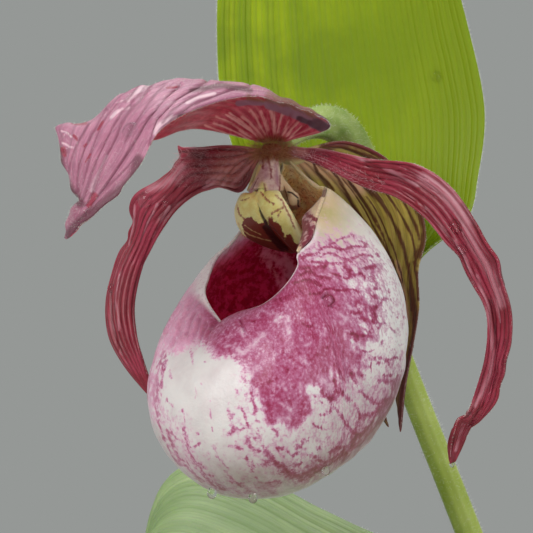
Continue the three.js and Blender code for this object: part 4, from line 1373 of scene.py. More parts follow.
# Pale tan foot, partly painted light where the right petal shades it.
colour = over(tree, colour, "#e2b292", inked(tree, "foot", clouds, 0.6, 0.9, 0.9))
drawn_lines = summed(tree, "lines", (threads, 0.5, 1.8), (cells, 0.5, 0.8))
colour = over(tree, colour, "#501410", drawn_lines, -0.5, 0.6, 0, 0.9)
colour = over(tree, colour, "#6c1a26", inked(tree, "wine", threads, 1.6, 0.8, 0.8))
colour = over(tree, colour, "#5c1826", part.outputs[0], 0.5, 0.85, 0, 0.7)
petal_finish(shader, tree, colour, summed(tree, cells, (threads, 0.0, 1.0)), 0.45, 0.22)

plain, s, t = ribbon_surface(LOWER_LEFT, LOWER_MID, LOWER_RIGHT, 150, 101)
parting = 0.15 * np.sin(math.pi * np.linspace(0, 1, 101)) ** 2
lower_surface = np.stack(
    [through(plain[:, j], np.linspace(0, 1 - parting[j], 150)) for j in range(101)], axis=1
)
body = np.clip(s / 0.1, 0, 1) * np.clip((1 - s) / 0.1, 0, 1) * np.clip(np.minimum(t, 1 - t) / 0.06, 0, 1)
lower_surface = raised(lower_surface, body * 0.16 * np.cos(2 * math.pi * 12 * t))
lower_sepal = sheet_piece("joined_lower_sepals", lower_surface + FLOWER, TEPAL_HALF, [sepal_skin])
drawn_on(lower_sepal, lower_surface, lines=SEPAL_LINES, foot=SEPAL_FOOT, wine=SEPAL_WINE)
painted(lower_sepal, "front", np.tile(np.clip((t - 0.35) / 0.2, 0, 1).ravel(), 2))
lower_surface = lower_surface + FLOWER
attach(lower_sepal, "root")
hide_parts("synsepal")
lower_fringe = edge_hairs("fringe_lower_sepals", lower_surface, (0, 1), 500, 0.4, 0.016, pile)
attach(lower_fringe, "root")


# Slipper: the pouched third petal, blown up like a waxy egg with its mouth on top. Its rim is
# thin and turned in; outside it is ivory under a pink saddle that breaks into net, streaks
# and dots, and inside it is dark magenta with a tan, dotted back wall.
LIP_CENTRE = np.array([2.0, 1.0, -16.5])
LIP_RADII = (26.4, 19.2, 21.3)
LIP_TILT = math.radians(40)
FACING = math.radians(35)
MOUTH_AXIS = unit(np.array([-3.3, -2.0, 19.7]))
MOUTH = [
    (3.2, 8.9, 19.5), (6.3, 7.4, 16.3), (8.5, 4, 14.2), (10.1, 1, 13.5), (8.7, -4, 8.7), (7.6, -8, 4.8),
    (5.2, -11, 2.4), (4.9, -12.5, 0.1), (2.7, -13, -3.1), (-0.7, -12, -5.9), (-4.4, -9, -7.1),
    (-7.7, -7, -8.1),
    (-10.5, -2.6, -4.4), (-10.2, 2, -1.5), (-8.9, 6, 2), (-6.3, 9, 4.6), (-3.7, 11, 8), (-0.8, 12, 12.4),
    (2.4, 11.6, 16.8),
]
# Below each mouth point: how far down the pink saddle reaches, and how strongly the wall there
# is netted, streaked lengthwise and creamy.
SADDLE_REACH = [
    0, 0, 0, 0, 0, 0.13, 0.31, 0.38, 0.43, 0.4, 0.26, 0.21, 0.25, 0.27, 0.25, 0.2, 0.14, 0.08, 0,
]
NET_AMOUNT = [0.2, 0.3, 0.5, 0.8, 1, 1, 1, 0.9, 0.8, 0.4, 0.15, 0.1, 0.2, 0.4, 0.4, 0.4, 0.4, 0.3, 0.2]
STREAK_AMOUNT = [0.4, 0.5, 0.7, 1, 1, 1, 0.9, 0.8, 0.8, 0.7, 0.8, 0.6, 1, 1, 0.8, 0.6, 0.5, 0.4, 0.4]
CREAM_AMOUNT = [1, 1, 1, 1, 1, 0.3, 0.05, 0, 0, 0, 0, 0, 0, 0, 0, 0.1, 0.4, 0.8, 1]
# How wide the whitish band is that follows the rim there, as a share of the way down.
RIM_BAND = [20, 20, 20, 20, 20, 16, 12, 9, 8, 8, 9, 14, 40, 85, 110, 120, 110, 80, 40]
LIP_ROUND = 400
LIP_DOWN = 184
INNER_ROWS = np.unique(np.append(np.arange(0, LIP_DOWN, 4), LIP_DOWN - 1))

# What the viewer sees drawn on the slipper's near side: the pink saddle's edge, then marks,
# paler and deeper patches in it, blushes, painted brown shade, and wrinkles pressed into the wall
# and inked deeper as painted shade.
POUCH_SADDLE = """
240,225 180,270 140,330 138,352 152,353 160,346 168,350 176,352 184,347 193,345 200,338 206,345
212,352 216,358 224,357 232,356 238,362 246,366 250,374 252,384 256,391 261,399 264,412 267,419
272,425 277,422 283,424 289,428 292,432 297,425 303,420 308,412 307,402 304,392 309,384 316,381
322,386 326,394 331,398 335,390 333,380 335,372 341,374 348,368 356,369 361,363 361,355 356,350
350,345 352,339 360,340 370,336 368,328 360,322 368,318 371,311 364,305 366,298 358,291 352,284
346,280 352,272 342,267 334,262 322,264 312,258 303,253 298,250 290,240 260,225
"""
POUCH_MARKS = """
1.4 331,244 336,240 342,238 348,236 354,236
1.4 306,255 315,252 322,249 328,247 335,247 342,249 350,247 357,246 364,248
1.7 303,258 308,256 313,254 320,251
1.3 321,256 326,254 332,253 337,256 343,260 348,259 353,260
1.6 340,264 346,262 352,261
1.6 312,262 320,261 326,262 333,265 340,264
1.7 352,258 358,257 363,256 368,256 373,256
1.3 363,241 367,244
1.3 365,245 368,248
1.1 376,253 379,256
2.0 300,267 308,268 316,268 322,266 328,264
1.8 345,265 350,270 353,277
1.4 332,274 340,276 346,277 352,276 360,274 366,278
1.7 361,268 366,268 372,266 376,265
2.0 300,275 308,272 316,275 322,278 330,280
2.0 295,283 305,281 313,282 320,284
1.3 323,289 333,289 343,290 353,290 358,293
1.4 310,294 318,293 323,290
1.2 322,298 327,295 333,297 334,301 331,305 328,306
1.3 303,324 306,328 312,327
2.6 372,277 376,284
1.4 375,287 375,290
1.4 387,288 389,292
2.0 372,296 378,298 384,300
2.2 382,303 376,306 371,308
1.0 390,299 394,302
2.6 357,303 360,306
2.0 352,312 358,314 362,313
2.2 371,311 374,314 375,320 372,322
2.0 360,317 366,320 372,323 378,323
1.5 379,328 381,324 386,322
1.0 392,328 396,333
1.1 392,312 392,313
1.1 396,316 396,318
1.0 403,316 405,319
2.1 352,333 357,336 356,340
2.4 361,335 369,335
1.3 381,340 381,346
1.0 363,350 370,351 376,350
2.0 372,357 377,359 380,364
1.7 381,358 384,361
1.7 385,358 388,365
1.4 388,358 397,359
1.4 371,363 370,370 371,377
1.8 361,378 364,376
2.2 381,381 391,381
1.6 384,377 391,375
1.8 350,373 354,378 356,384 358,387
1.6 343,378 345,379
2.5 340,390 344,395 348,400
2.0 334,380 337,388 333,395 330,400
1.8 322,390 326,396 330,400
2.0 353,403 357,410 361,418
2.0 361,392 365,395 371,400
2.2 373,402 380,403 387,400
2.3 337,411 343,418 346,424 351,429
1.5 333,404 336,410
1.5 320,414 326,414 331,411
1.2 331,404 330,413
1.3 313,395 316,397
1.1 321,402 324,404
3.2 350,430 356,432 358,426
3.0 365,418 372,415 379,409 385,403
1.4 313,425 318,427 325,430
1.2 308,437 305,440
2.0 296,446 300,444 303,439
2.1 278,449 284,448 288,452 293,455 298,451
1.9 316,449 320,447
1.7 330,451 338,447 346,446 352,441 359,434
2.4 310,456 316,458 321,462
1.7 330,458 337,453 346,450
1.5 300,462 296,467
3.6 273,461 279,466 285,472 292,475 301,476
3.3 268,451 272,458 268,463
2.0 300,476 310,472 320,468 327,464
2.0 257,430 260,437 263,442 265,449
2.3 249,439 250,446 255,449 261,450
1.7 253,436 256,440
1.9 246,458 248,465
1.9 252,461 253,467 252,471
1.2 256,462 258,463
2.1 225,472 229,476 233,481
1.9 235,481 241,485
1.9 212,446 216,451 218,457 221,460
1.5 222,463 228,469
1.4 212,476 214,477
1.5 257,477 260,480
1.7 266,482 272,483 279,481
1.9 184,427 186,435 188,445 191,453 196,462 201,470 207,478 214,485 223,490
1.6 189,447 195,448 199,444
1.1 187,460 190,467 195,473
1.4 196,433 198,433
1.4 171,432 174,436 177,439
1.2 202,465 207,469
1.0 168,428 170,435 168,441
1.8 156,400 158,410 158,423
1.3 153,385 153,395 155,405
1.5 158,381 158,390 157,399
1.4 162,364 161,373 163,378 161,386
1.4 157,345 154,360 151,375 148,390 146,402
1.3 165,350 160,362 156,375 153,391
1.3 167,355 165,368 163,381
1.3 192,350 193,356 193,363
1.2 205,362 206,362
1.2 197,366 197,368
1.0 194,388 197,393 195,399
1.2 166,398 167,403
1.2 171,405 173,406
1.0 184,408 185,416
1.2 211,402 209,406
1.0 210,410 211,419
1.1 212,428 212,433
1.6 229,401 228,406 229,411
1.7 228,415 232,414 230,421
1.9 237,407 242,409 245,414 246,420 248,426
2.0 243,376 246,379
1.4 239,371 241,371
1.7 238,389 240,395
1.2 243,386 246,384
1.9 252,394 254,402 256,409 255,415
1.9 232,425 234,431 229,432
1.3 236,427 238,429
1.3 241,430 245,428
1.9 229,445 235,445 241,449
1.3 235,440 238,442
2.6 276,431 277,435
1.6 271,429 276,430
1.6 257,421 259,421
1.2 186,418 186,421
1.1 201,384 203,384
1.2 262,464 264,464
1.0 170,371 171,378
1.6 300,481 320,470 345,454 358,444 370,432 380,420 390,406 397,390 402,370
1.4 305,474 322,464 335,456 350,446 362,434 373,421 384,408 392,394 397,375
1.3 167,430 172,445 180,460 190,471 203,482
1.2 160,425 166,443 174,456 181,466
"""
POUCH_PALES = """
4.5 330,368 331,377
5.5 321,378 327,385 330,393
5.5 352,341 356,352 354,347
3.0 344,334 344,339
5.5 337,314 345,318 341,323
4.0 347,303 353,309
3.0 325,329 325,335
5.0 286,322 290,332 289,317
3.5 300,383 300,392
3.0 312,388 317,392
4.0 300,358 306,364
3.0 319,300 324,296
5.0 235,348 243,353 251,350
6.0 251,346 262,335
3.5 275,320 283,317
3.5 283,384 287,390
5.0 256,368 250,377
3.5 283,405 290,410
4.0 279,420 290,418
3.5 262,311 270,314
3.0 304,345 311,341
3.0 240,330 244,335
3.0 226,345 232,347
"""
POUCH_DEEPS = """
5.0 277,301 284,297 293,296
4.5 297,292 303,288 311,286
3.4 303,276 305,272 310,271
4.5 275,299 280,310
5.0 207,314 213,319 209,325 216,321
2.5 221,322 226,329
3.0 305,323 308,328
3.5 325,322 330,331 335,333
2.6 349,333 352,334
3.5 288,399 290,404
4.5 304,414 307,406 308,398
4.5 266,401 268,412 271,421
3.2 262,385 270,382 276,379
3.0 254,380 259,384
3.0 324,346 328,346 330,343
3.2 297,364 303,368
3.2 319,372 325,373 329,368
3.2 336,364 340,371
3.0 343,345 345,351
3.0 311,360 316,353 325,355
4.0 353,357 355,366
3.0 282,365 288,372
3.0 272,392 279,398
3.0 244,318 252,322 262,321
2.6 233,312 246,311
3.0 218,338 228,331
3.0 283,350 290,356
3.0 312,335 319,339
"""
POUCH_PINK = """
0.50 44 236,240 214,262 200,286
0.62 34 186,300 168,322 156,345
0.85 20 203,312 213,318 207,327
0.78 30 222,326 240,322 262,312
0.98 28 266,304 282,297 300,288 322,284
0.82 26 300,272 312,266
0.55 22 286,316 290,332
0.30 40 322,250 345,264 368,290
0.84 24 300,325 318,330
0.95 24 342,352 354,364
0.66 30 256,350 276,350
0.80 34 275,385 292,385
0.84 26 266,402 282,410 300,410
"""
# Pink washed over the white; along the lower right and bottom edges it is raised a little, partly as
# painted shade.
POUCH_WHITE = """
0.22 30 306,252 335,248 355,250
0.20 34 352,264 374,272
0.22 30 365,300 380,314
0.12 34 356,384 336,392 316,404
0.02 34 300,430 322,425 346,412
0.14 28 394,362 390,385 380,402
0.20 26 374,414 356,430 335,446
0.34 18 398,396 374,428 342,454 305,474
0.02 38 238,405 244,430 256,458
0.04 34 274,440 296,450 318,447
0.22 20 278,466 300,475
0.32 22 152,350 150,380 150,412
0.12 28 168,425 184,452 202,478
0.22 16 212,487 240,491 272,489
-0.35 44 196,378 214,392
0.02 26 390,285 398,330
0.10 18 250,362 252,400
"""
# Painted shade along the slipper's bottom and its lower edges.
POUCH_SHADE = """
0.24 60 230,470 280,460 330,440 360,415
0.85 22 404,388 388,420 352,452 305,477 262,492
0.80 36 205,484 240,488 275,482
0.35 26 160,440 180,468 200,484
"""
# Wrinkles pressed into the wall; they are also inked deeper, as painted shade in their creases.
POUCH_WRINKLES = """
3.2 203,293 196,296 190,301 187,307
3.2 200,300 192,305 186,313
3.2 188,310 182,318 178,327
3.2 183,322 178,332 172,345
3.2 195,312 190,322 186,334
3.2 200,318 197,328 193,339
3.2 207,322 203,330 200,339
3.2 180,305 172,318 166,331
3.2 176,300 170,308
3.2 213,326 208,333 205,343
3.4 222,316 217,322 211,328
2.2 240,320 244,330
2.2 322,298 327,294 333,296 335,301 332,306
"""
LINING_DUSKY = """
11 262,252 275,256 288,262 290,274 283,284
5 266,262 276,274
"""
# Where in the picture each change on the near side starts, and over how many steps it comes in;
# it grows to the left or upward where that is below zero.
SOFT_RIGHT = (310, 40)
SOFT_LEFT = (225, -30)
NET_RIGHT = (240, 70)
CREAM_UNTIL = (335, 45)
FLUSH_LEFT = (218, -50)
# Painted light on the right flank: where it starts to the right, and where it fades out below.
PAINTED_LIGHT_RIGHT = (340, 50)
PAINTED_LIGHT_ABOVE = (400, -60)


def lip_radius(d):
    """Radius of the slipper's tilted egg along directions d."""
    forward = -math.sin(FACING) * d[..., 0] - math.cos(FACING) * d[..., 1]
    lateral = math.cos(FACING) * d[..., 0] - math.sin(FACING) * d[..., 1]
    long = forward * math.cos(LIP_TILT) - d[..., 2] * math.sin(LIP_TILT)
    short = forward * math.sin(LIP_TILT) + d[..., 2] * math.cos(LIP_TILT)
    ways = zip((long, short, lateral), LIP_RADII)
    return 1 / np.sqrt(sum((way / radius) ** 2 for way, radius in ways))


def lip_points(u, s):
    """Outside of the slipper: u round the mouth, s from its rim to the lowest point."""
    rim = through(MOUTH, u, closed=True)
    d = unit(rim - LIP_CENTRE)
    lean = d @ MOUTH_AXIS
    start = np.arccos(lean)
    across = unit(d - MOUTH_AXIS * lean[..., None])
    turn = (start + (math.pi - start) * s)[..., None]
    ray = MOUTH_AXIS * np.cos(turn) + across * np.sin(turn)
    drawn = rim - LIP_CENTRE - d * lip_radius(d)[..., None]
    fade = np.maximum(0, 1 - s / 0.55) ** 2.3
    return LIP_CENTRE + ray * lip_radius(ray)[..., None] + drawn * fade[..., None]


turns = np.arange(LIP_ROUND) / LIP_ROUND
crowded = (turns + 0.45 * np.sin(2 * math.pi * (turns + 0.06)) / (2 * math.pi)) % 1
lip_s, lip_u = np.meshgrid(0.985 * np.linspace(0, 1, LIP_DOWN) ** 1.15, crowded, indexing="ij")
lip_out = lip_points(lip_u, lip_s)
around = np.roll(lip_out, -1, axis=1) - np.roll(lip_out, 1, axis=1)
lip_normal = unit(np.cross(np.gradient(lip_out, axis=0), around))
lip_normal *= np.sign(np.sum(lip_normal * (lip_out - LIP_CENTRE), axis=-1, keepdims=True))


def cloud(points, cell, seed):
    """Soft bumps in space, between -1 and 1, about one to each cell of that size."""
    make = np.random.default_rng(seed)
    total = np.zeros(points.shape[:-1])
    for _ in range(14):
        way = unit(make.normal(size=3)) * 2 * math.pi / (cell * make.uniform(1.2, 2.4))
        total += np.sin(points @ way + make.uniform(0, 2 * math.pi))
    return total / 5


# The mouth's front corner is pinched into a sharp notch before anything else is pressed in.
from_notch = np.abs(lip_u * 19 - 11)
pinch = np.exp(-from_notch / 0.2) * np.clip(1 - lip_s / 0.08, 0, 1)
lip_out = lip_out - (MOUTH_AXIS * 0.9) * pinch[..., None]
lip_body = np.clip(lip_s / 0.06, 0, 1)
lip_places = seen_at(lip_out)
lip_view = unit(lip_out + np.array([0, CAMERA_DISTANCE, 0]))
facing_viewer = -np.sum(lip_normal * lip_view, axis=-1)
near_side = np.clip(facing_viewer / 0.12, 0, 1)
quilt = 0.1 * cloud(lip_out, 3.0, 11) + 0.16 * cloud(lip_out, 9.0, 12)
long_ribs = 0.06 * np.cos(2 * math.pi * 30 * lip_u)
long_ribs = long_ribs * np.clip(1.1 - lip_s, 0, 1) * np.clip(lip_s / 0.3, 0, 1)
crease = -0.5 * np.exp(-((from_notch / 0.22) ** 2)) * np.clip(1 - lip_s / 0.2, 0, 1)
wrinkles = -0.5 * near_side * hollow(lip_places, POUCH_WRINKLES)
rim_roll = -0.35 * (1 - np.clip(lip_s / 0.03, 0, 1)) ** 2
pressed = (quilt + long_ribs + crease + wrinkles) * lip_body + rim_roll
lip_out = lip_out + lip_normal * pressed[..., None]
lip_wall = 0.4 + 0.5 * np.clip(lip_s / 0.12, 0, 1)
lip_in = (lip_out - lip_normal * lip_wall[..., None])[INNER_ROWS]
pole_out = lip_points(np.array(0.0), np.array(1.0))
poles = [pole_out, pole_out + MOUTH_AXIS * 0.9]
lip_shape = np.concatenate([lip_out.reshape(-1, 3), lip_in.reshape(-1, 3), poles])
n = LIP_ROUND * LIP_DOWN
m = n + LIP_ROUND * len(INNER_ROWS)
outer_faces = [tuple(reversed(f)) for f in ring_faces(LIP_DOWN, LIP_ROUND)]
inner_faces = ring_faces(len(INNER_ROWS), LIP_ROUND, n)
outer_faces += [(n - LIP_ROUND + (j + 1) % LIP_ROUND, n - LIP_ROUND + j, m)[::-1] for j in range(LIP_ROUND)]
inner_faces += [(m - LIP_ROUND + (j + 1) % LIP_ROUND, m - LIP_ROUND + j, m + 1) for j in range(LIP_ROUND)]
rim_faces = [((j + 1) % LIP_ROUND, j, j + n, (j + 1) % LIP_ROUND + n)[::-1] for j in range(LIP_ROUND)]


def both_walls(grid):
    """A value for each point of the slipper: outside, inside, then the two at its toe."""
    rest = grid.shape[2:]
    return np.concatenate([grid.reshape(-1, *rest), grid[INNER_ROWS].reshape(-1, *rest), grid[-1, :2]])


lip_run = both_walls(np.stack([lip_s, lip_u], -1))
lip_run[-2:] = [1, 0.5]


def flowing(tree, along_mm, across_mm, kind="TexNoise", **settings):
    """A pattern on the slipper drawn out from mouth to toe: lump lengths in millimetres."""
    flow = add_node(tree, "Attribute", attribute_name="flow").outputs["Vector"]
    sizes = (1 / across_mm, 1 / across_mm, 1 / along_mm)
    spread = add_node(tree, "VectorMath", {0: flow, 1: sizes}, operation="MULTIPLY").outputs[0]
    inputs = {"Vector": spread, "Scale": 1.0}
    if kind == "TexNoise":
        inputs["Detail"] = 5.0
        inputs["Roughness"] = 0.62
    return add_node(tree, kind, inputs, **settings).outputs[0]


lip_outside, tree, shader = new_material("ivory_and_pink_pouch")
lines, _, _ = vein_mask(tree, 34, 0.34, 1.3, 6.0, 0.4)
blots = flowing(tree, 2.6, 1.5)
fine_blots = flowing(tree, 0.8, 0.6)
grain = speckle(tree, 0.45)
haze = speckle(tree, 7.0)
mottle = summed(tree, 0.0, (blots, 0.5, 1.2), (fine_blots, 0.5, 2.4), (grain, 0.5, 1.2))
mottle = product(tree, mottle, ("pinkness", -0.35, 0.2, 0.3, 1.0), ("pinkness", 0.35, 0.8, 1.0, 0.7))
web = flowing(tree, 3.4, 1.8, kind="TexVoronoi", feature="DISTANCE_TO_EDGE")
web = product(tree, (summed(tree, web, (fine_blots, 0.5, 1.2), (blots, 0.5, -0.6)), -0.05, 0.26, 1, 0))
streaks = product(tree, lines, (flowing(tree, 7.0, 1.5), 0.44, 0.58))
marks = summed(tree, "marks", (fine_blots, 0.5, 2.8), (grain, 0.5, 0.8))
# The deeps include the wrinkles, inked deeper as painted shade in their creases.
ink = summed(
    tree, summed(tree, "pinkness", (mottle, 0.0, 1.0)),
    (product(tree, web, "netted"), 0.0, 0.5),
    (product(tree, streaks, "streaked"), 0.0, 0.35),
    (product(tree, (marks, -0.6, 1.0)), 0.0, 0.64),
    (inked(tree, "deeps", fine_blots, 2.4, 1.2), 0.0, 0.3),
    (inked(tree, "pales", fine_blots, 2.0, 1.2), 0.0, -0.45),
)
colour = over(tree, "#dcd6d3", "#d1c7c6", haze, 0.35, 0.65)
# Painted light: the slipper's right flank is painted whiter.
colour = over(tree, colour, "#f8f2f0", "right")
colour = over(tree, colour, over(tree, "#c8ae86", "#b6a870", haze, 0.4, 0.6), "cream")
colour = over(tree, colour, "#d2a6bb", ink, -0.1, 0.42)
colour = over(tree, colour, "#b16186", ink, 0.24, 0.8)
colour = over(tree, colour, "#9c315a", ink, 0.66, 1.15)
colour = over(tree, colour, "#7c1838", ink, 1.1, 1.6)
flush = product(tree, "left", (fine_blots, 0.36, 0.6, 0.45, 1.0))
colour = over(tree, colour, "#f4bcd6", flush)
# Painted brown shade along the bottom of the slipper.
brown = product(tree, "shade", (blots, 0.3, 0.6, 0.45, 0.75))
colour = over(tree, colour, "#80584f", brown)
pale_band = product(tree, "band", (fine_blots, 0.34, 0.5, 0.45, 1))
pale_band = product(tree, pale_band, summed(tree, 1.0, ("cream", 0.0, -1.0)))
colour = over(tree, colour, "#f6eaea", pale_band)
petal_finish(shader, tree, colour, summed(tree, grain, (fine_blots, 0.0, 1.0)), 0.36, 0.28, 0.45, 0.00016)
wire(shader, {"Subsurface Radius": (1.0, 0.6, 0.6), "Coat Weight": 0.15, "Coat Roughness": 0.3})

lip_inside, tree, shader = new_material("dark_magenta_lining")
blots = speckle(tree, 1.2, 5.0, 0.65)
fine = speckle(tree, 0.5, 4.0)
colour = over(tree, "#b01e52", "#d2528a", blots, 0.42, 0.6)
colour = over(tree, colour, "#7c0a2c", fine, 0.55, 0.66, 0, 0.5)
colour = over(tree, colour, "#ecc4ca", inked(tree, "dusky", blots, 3.0, 1.0, 0.9))
pale_band = product(tree, "band", (blots, 0.3, 0.6, 0.5, 1))
colour = over(tree, colour, "#f2e2e2", pale_band)
petal_finish(shader, tree, colour, fine, 0.5, 1.0)
wire(shader, {"Subsurface Radius": (2.8, 1.6, 2.0)})

lip_wall_skin, tree, shader = new_material("tan_dotted_back_wall")
blots = speckle(tree, 1.2, 5.0, 0.65)
fine = speckle(tree, 0.45, 4.0)
colour = over(tree, "#fbe8cc", "#ecc4a2", blots, 0.4, 0.6)
colour = over(tree, colour, "#a4604a", fine, 0.52, 0.62, 0, 0.65)
petal_finish(shader, tree, colour, fine, 0.5, 1.0)
wire(shader, {"Subsurface Radius": (3.0, 2.2, 1.4)})

lip_rim, tree, shader = new_material("pale_slipper_rim")
colour = over(tree, "#f8eeec", "#e6c4cc", speckle(tree, 1.5), 0.4, 0.62)
colour = over(tree, colour, "#cfbb8e", "cream")
petal_finish(shader, tree, colour, speckle(tree, 0.5), 0.4, 0.35)

lip_faces = outer_faces + inner_faces + rim_faces
TAN_ABOVE = 5.5
lining_of = [3 if lip_shape[face[0], 2] > TAN_ABOVE else 1 for face in inner_faces]
which = [0] * len(outer_faces) + lining_of + [2] * len(rim_faces)
lip_skins = [lip_outside, lip_inside, lip_rim, lip_wall_skin]
lip = new_piece("slipper_pouch", lip_shape + FLOWER, lip_faces, lip_skins, lip_run, which)


def past(values, start, steps):
    """How far values have come from a start, from 0 to 1 over that many steps."""
    return np.clip((values - start) / steps, 0, 1)


def round_mouth(values):
    """A table with one number for each mouth point, read smoothly round the mouth."""
    return through(np.array(values, dtype=float)[:, None], lip_u[0], closed=True)[None, :, 0]


lip_places = seen_at(lip_out)
seen_across, seen_down = lip_places[..., 0], lip_places[..., 1]
unseen = 1 - near_side
reach = round_mouth(SADDLE_REACH)
soft = 0.07 + 0.12 * round_mouth(NET_AMOUNT)
saddle_behind = np.clip(0.5 + (reach - lip_s) / (2 * soft), 0, 1) * np.clip(reach / 0.1, 0, 1)
shaky = lip_places + 1.4 * np.stack([cloud(lip_out, 2.2, 31), cloud(lip_out, 2.2, 32)], -1)
border = 8 + 18 * past(shaky[..., 0], *SOFT_RIGHT) + 10 * past(shaky[..., 0], *SOFT_LEFT)
saddle_before = np.clip(0.5 + outlined(shaky, POUCH_SADDLE) / border, 0, 1)
pink_before = saddle_before * washed(shaky, POUCH_PINK, 0.88)
pink_before = pink_before + (1 - saddle_before) * washed(shaky, POUCH_WHITE, -0.15)
pink_behind = 0.75 * saddle_behind - 0.15
net_before = np.clip(1.4 - np.abs(pink_before - 0.38) / 0.28, 0, 1) * past(seen_across, *NET_RIGHT)
net_behind = round_mouth(NET_AMOUNT) * np.clip(1.3 - lip_s, 0, 1) * np.clip(lip_s / 0.12, 0, 1)
streak_behind = round_mouth(STREAK_AMOUNT) * np.clip((lip_s - 0.22) / 0.25, 0, 1)
cream_before = 1 - near_side * np.minimum(past(seen_across, *CREAM_UNTIL), 0.8)
flush_before = np.minimum(past(seen_across, *FLUSH_LEFT), 0.62) * near_side
# Painted light on the right flank, fading out downward.
painted_light_before = np.minimum(past(seen_across, *PAINTED_LIGHT_RIGHT), 0.9) * past(seen_down, *PAINTED_LIGHT_ABOVE)
rim_band = np.clip(1.6 - 1.6 * lip_s / (round_mouth(RIM_BAND) * 0.001), 0, 1)
inside_seen = np.clip(-facing_viewer / 0.12, 0, 1)
dusky = stroked(lip_places, LINING_DUSKY)
lip_marks = {
    "pinkness": pink_before * near_side + pink_behind * unseen,
    "netted": net_before * near_side + net_behind * unseen,
    "streaked": 0.2 * near_side + streak_behind * unseen,
    "cream": round_mouth(CREAM_AMOUNT) * np.clip(1.1 - lip_s / 0.2, 0, 1) * cream_before,
    "band": rim_band,
    "left": flush_before * np.clip(pink_before / 0.4, 0, 1),
    "right": painted_light_before,
    "shade": washed(shaky, POUCH_SHADE, 0.0) * near_side,
    "dusky": dusky * inside_seen - unseen * (1 - inside_seen),
    "marks": (stroked(shaky, POUCH_MARKS, -3.0) + 3) * np.clip(facing_viewer / 0.05, 0, 1) - 3,
}
# The wrinkles are inked deeper along with the deeper patches, as painted shade in their creases.
for key, strokes in (("pales", POUCH_PALES), ("deeps", POUCH_DEEPS + POUCH_WRINKLES.lstrip())):
    lip_marks[key] = (stroked(shaky, strokes) + 1) * np.clip(facing_viewer / 0.05, 0, 1) - 1
for key, grid in lip_marks.items():
    painted(lip, key, both_walls(grid))
ring_radius, lip_length = 20.7, 60.0
flow = np.stack(
    [
        ring_radius * np.cos(2 * math.pi * lip_u),
        ring_radius * np.sin(2 * math.pi * lip_u),
        lip_length * lip_s,
    ],
    -1,
)
flow_layer = lip.data.attributes.new("flow", "FLOAT_VECTOR", "POINT")
flow_layer.data.foreach_set("vector", both_walls(flow).astype(np.float32).ravel())
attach(lip, "root")
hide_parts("lip")


# Near lobe of the mouth: the rim there is folded in over the hollow, cream with crowded
# maroon spots.
LOBE_MARGIN = [
    (10.1, 1, 13.5), (9.6, 2.4, 11.9), (7.9, 2.0, 10.0), (6.2, 0.0, 8.0), (6.2, -3.5, 5.8),
    (5.6, -7.5, 3.6),
    (5.2, -11, 2.4),
]
LOBE_MAUVE = "12 304,216 308,228 308,242"
LOBE_MAROON = """
3 306,214 312,218 319,223
8 309,228 311,236
5 322,230 314,234
4 303,245 311,241
5 304,224 303,240
"""
LOBE_EDGE = "1.1 326,188 323,196 314,207 305,214 300,220 298,227"
lobe_u = np.linspace(3 / 19, 6 / 19, 7)
lobe_rim = lip_points(lobe_u, np.zeros(7)) + np.array([-0.1, 0.1, 0.0])
lobe_middle = (lobe_rim + np.array(LOBE_MARGIN)) / 2
lobe_middle = lobe_middle + np.sin(math.pi * np.linspace(0, 1, 7))[:, None] * np.array([0.3, 0, 0.7])
lobe_surface, s, t = ribbon_surface(lobe_rim, lobe_middle, LOBE_MARGIN, 60, 31)
lobe_skin, tree, shader = new_material("spotted_cream_lobe")
spots = speckle(tree, 0.9, 4.0, 0.6)
fine = speckle(tree, 0.4)
colour = over(tree, "#d8c49c", "#cdb094", fine, 0.4, 0.6)
colour = over(tree, colour, "#b98a94", inked(tree, "mauve", spots, 1.0, 0.6, 0.85))
colour = over(tree, colour, "#72122e", inked(tree, "maroon", spots, 4.0, 0.7, 0.95))
colour = over(tree, colour, "#4c1a1c", inked(tree, "edge", fine, 0.6, 0.5, 0.8))
petal_finish(shader, tree, colour, spots, 0.42, 0.3)
lobe = sheet_piece("folded_mouth_lobe", lobe_surface + FLOWER, 0.3, [lobe_skin])
drawn_on(lobe, lobe_surface, mauve=LOBE_MAUVE, maroon=LOBE_MAROON, edge=LOBE_EDGE)
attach(lobe, "root")


# Column: the short stout post that carries the two anthers, one at each side, over the mouth.
# Pinkish white with a dark red streak down its front, and cream pollen masses.
def blob(place, radii, turns=16):
    """A smooth lump as rings of points and faces."""
    rings = turns // 2
    lift = np.linspace(-math.pi / 2, math.pi / 2, rings + 1)[1:-1]
    a = np.arange(turns) / turns * 2 * math.pi
    points = [
        np.stack([np.cos(h) * np.cos(a), np.cos(h) * np.sin(a), 0 * a + np.sin(h)], 1) for h in lift
    ]
    points = np.concatenate(points + [np.array([[0, 0, -1.0], [0, 0, 1.0]])]) * radii + place
    faces = ring_faces(rings - 1, turns)
    low, high = (rings - 1) * turns, (rings - 1) * turns + 1
    faces += [(low, (j + 1) % turns, j) for j in range(turns)]
    top = (rings - 2) * turns
    faces += [(high, top + j, top + (j + 1) % turns) for j in range(turns)]
    return points, faces


def limb(path, radii, flat=1.0, rings=14, sides=20):
    """A rod about a path as points and faces."""
    points, _, _ = rod_points(path, radii, rings, sides, flat)
    faces = ring_faces(rings, sides)
    faces.append(tuple(range(sides - 1, -1, -1)))
    faces.append(tuple(range((rings - 1) * sides, rings * sides)))
    return points, faces


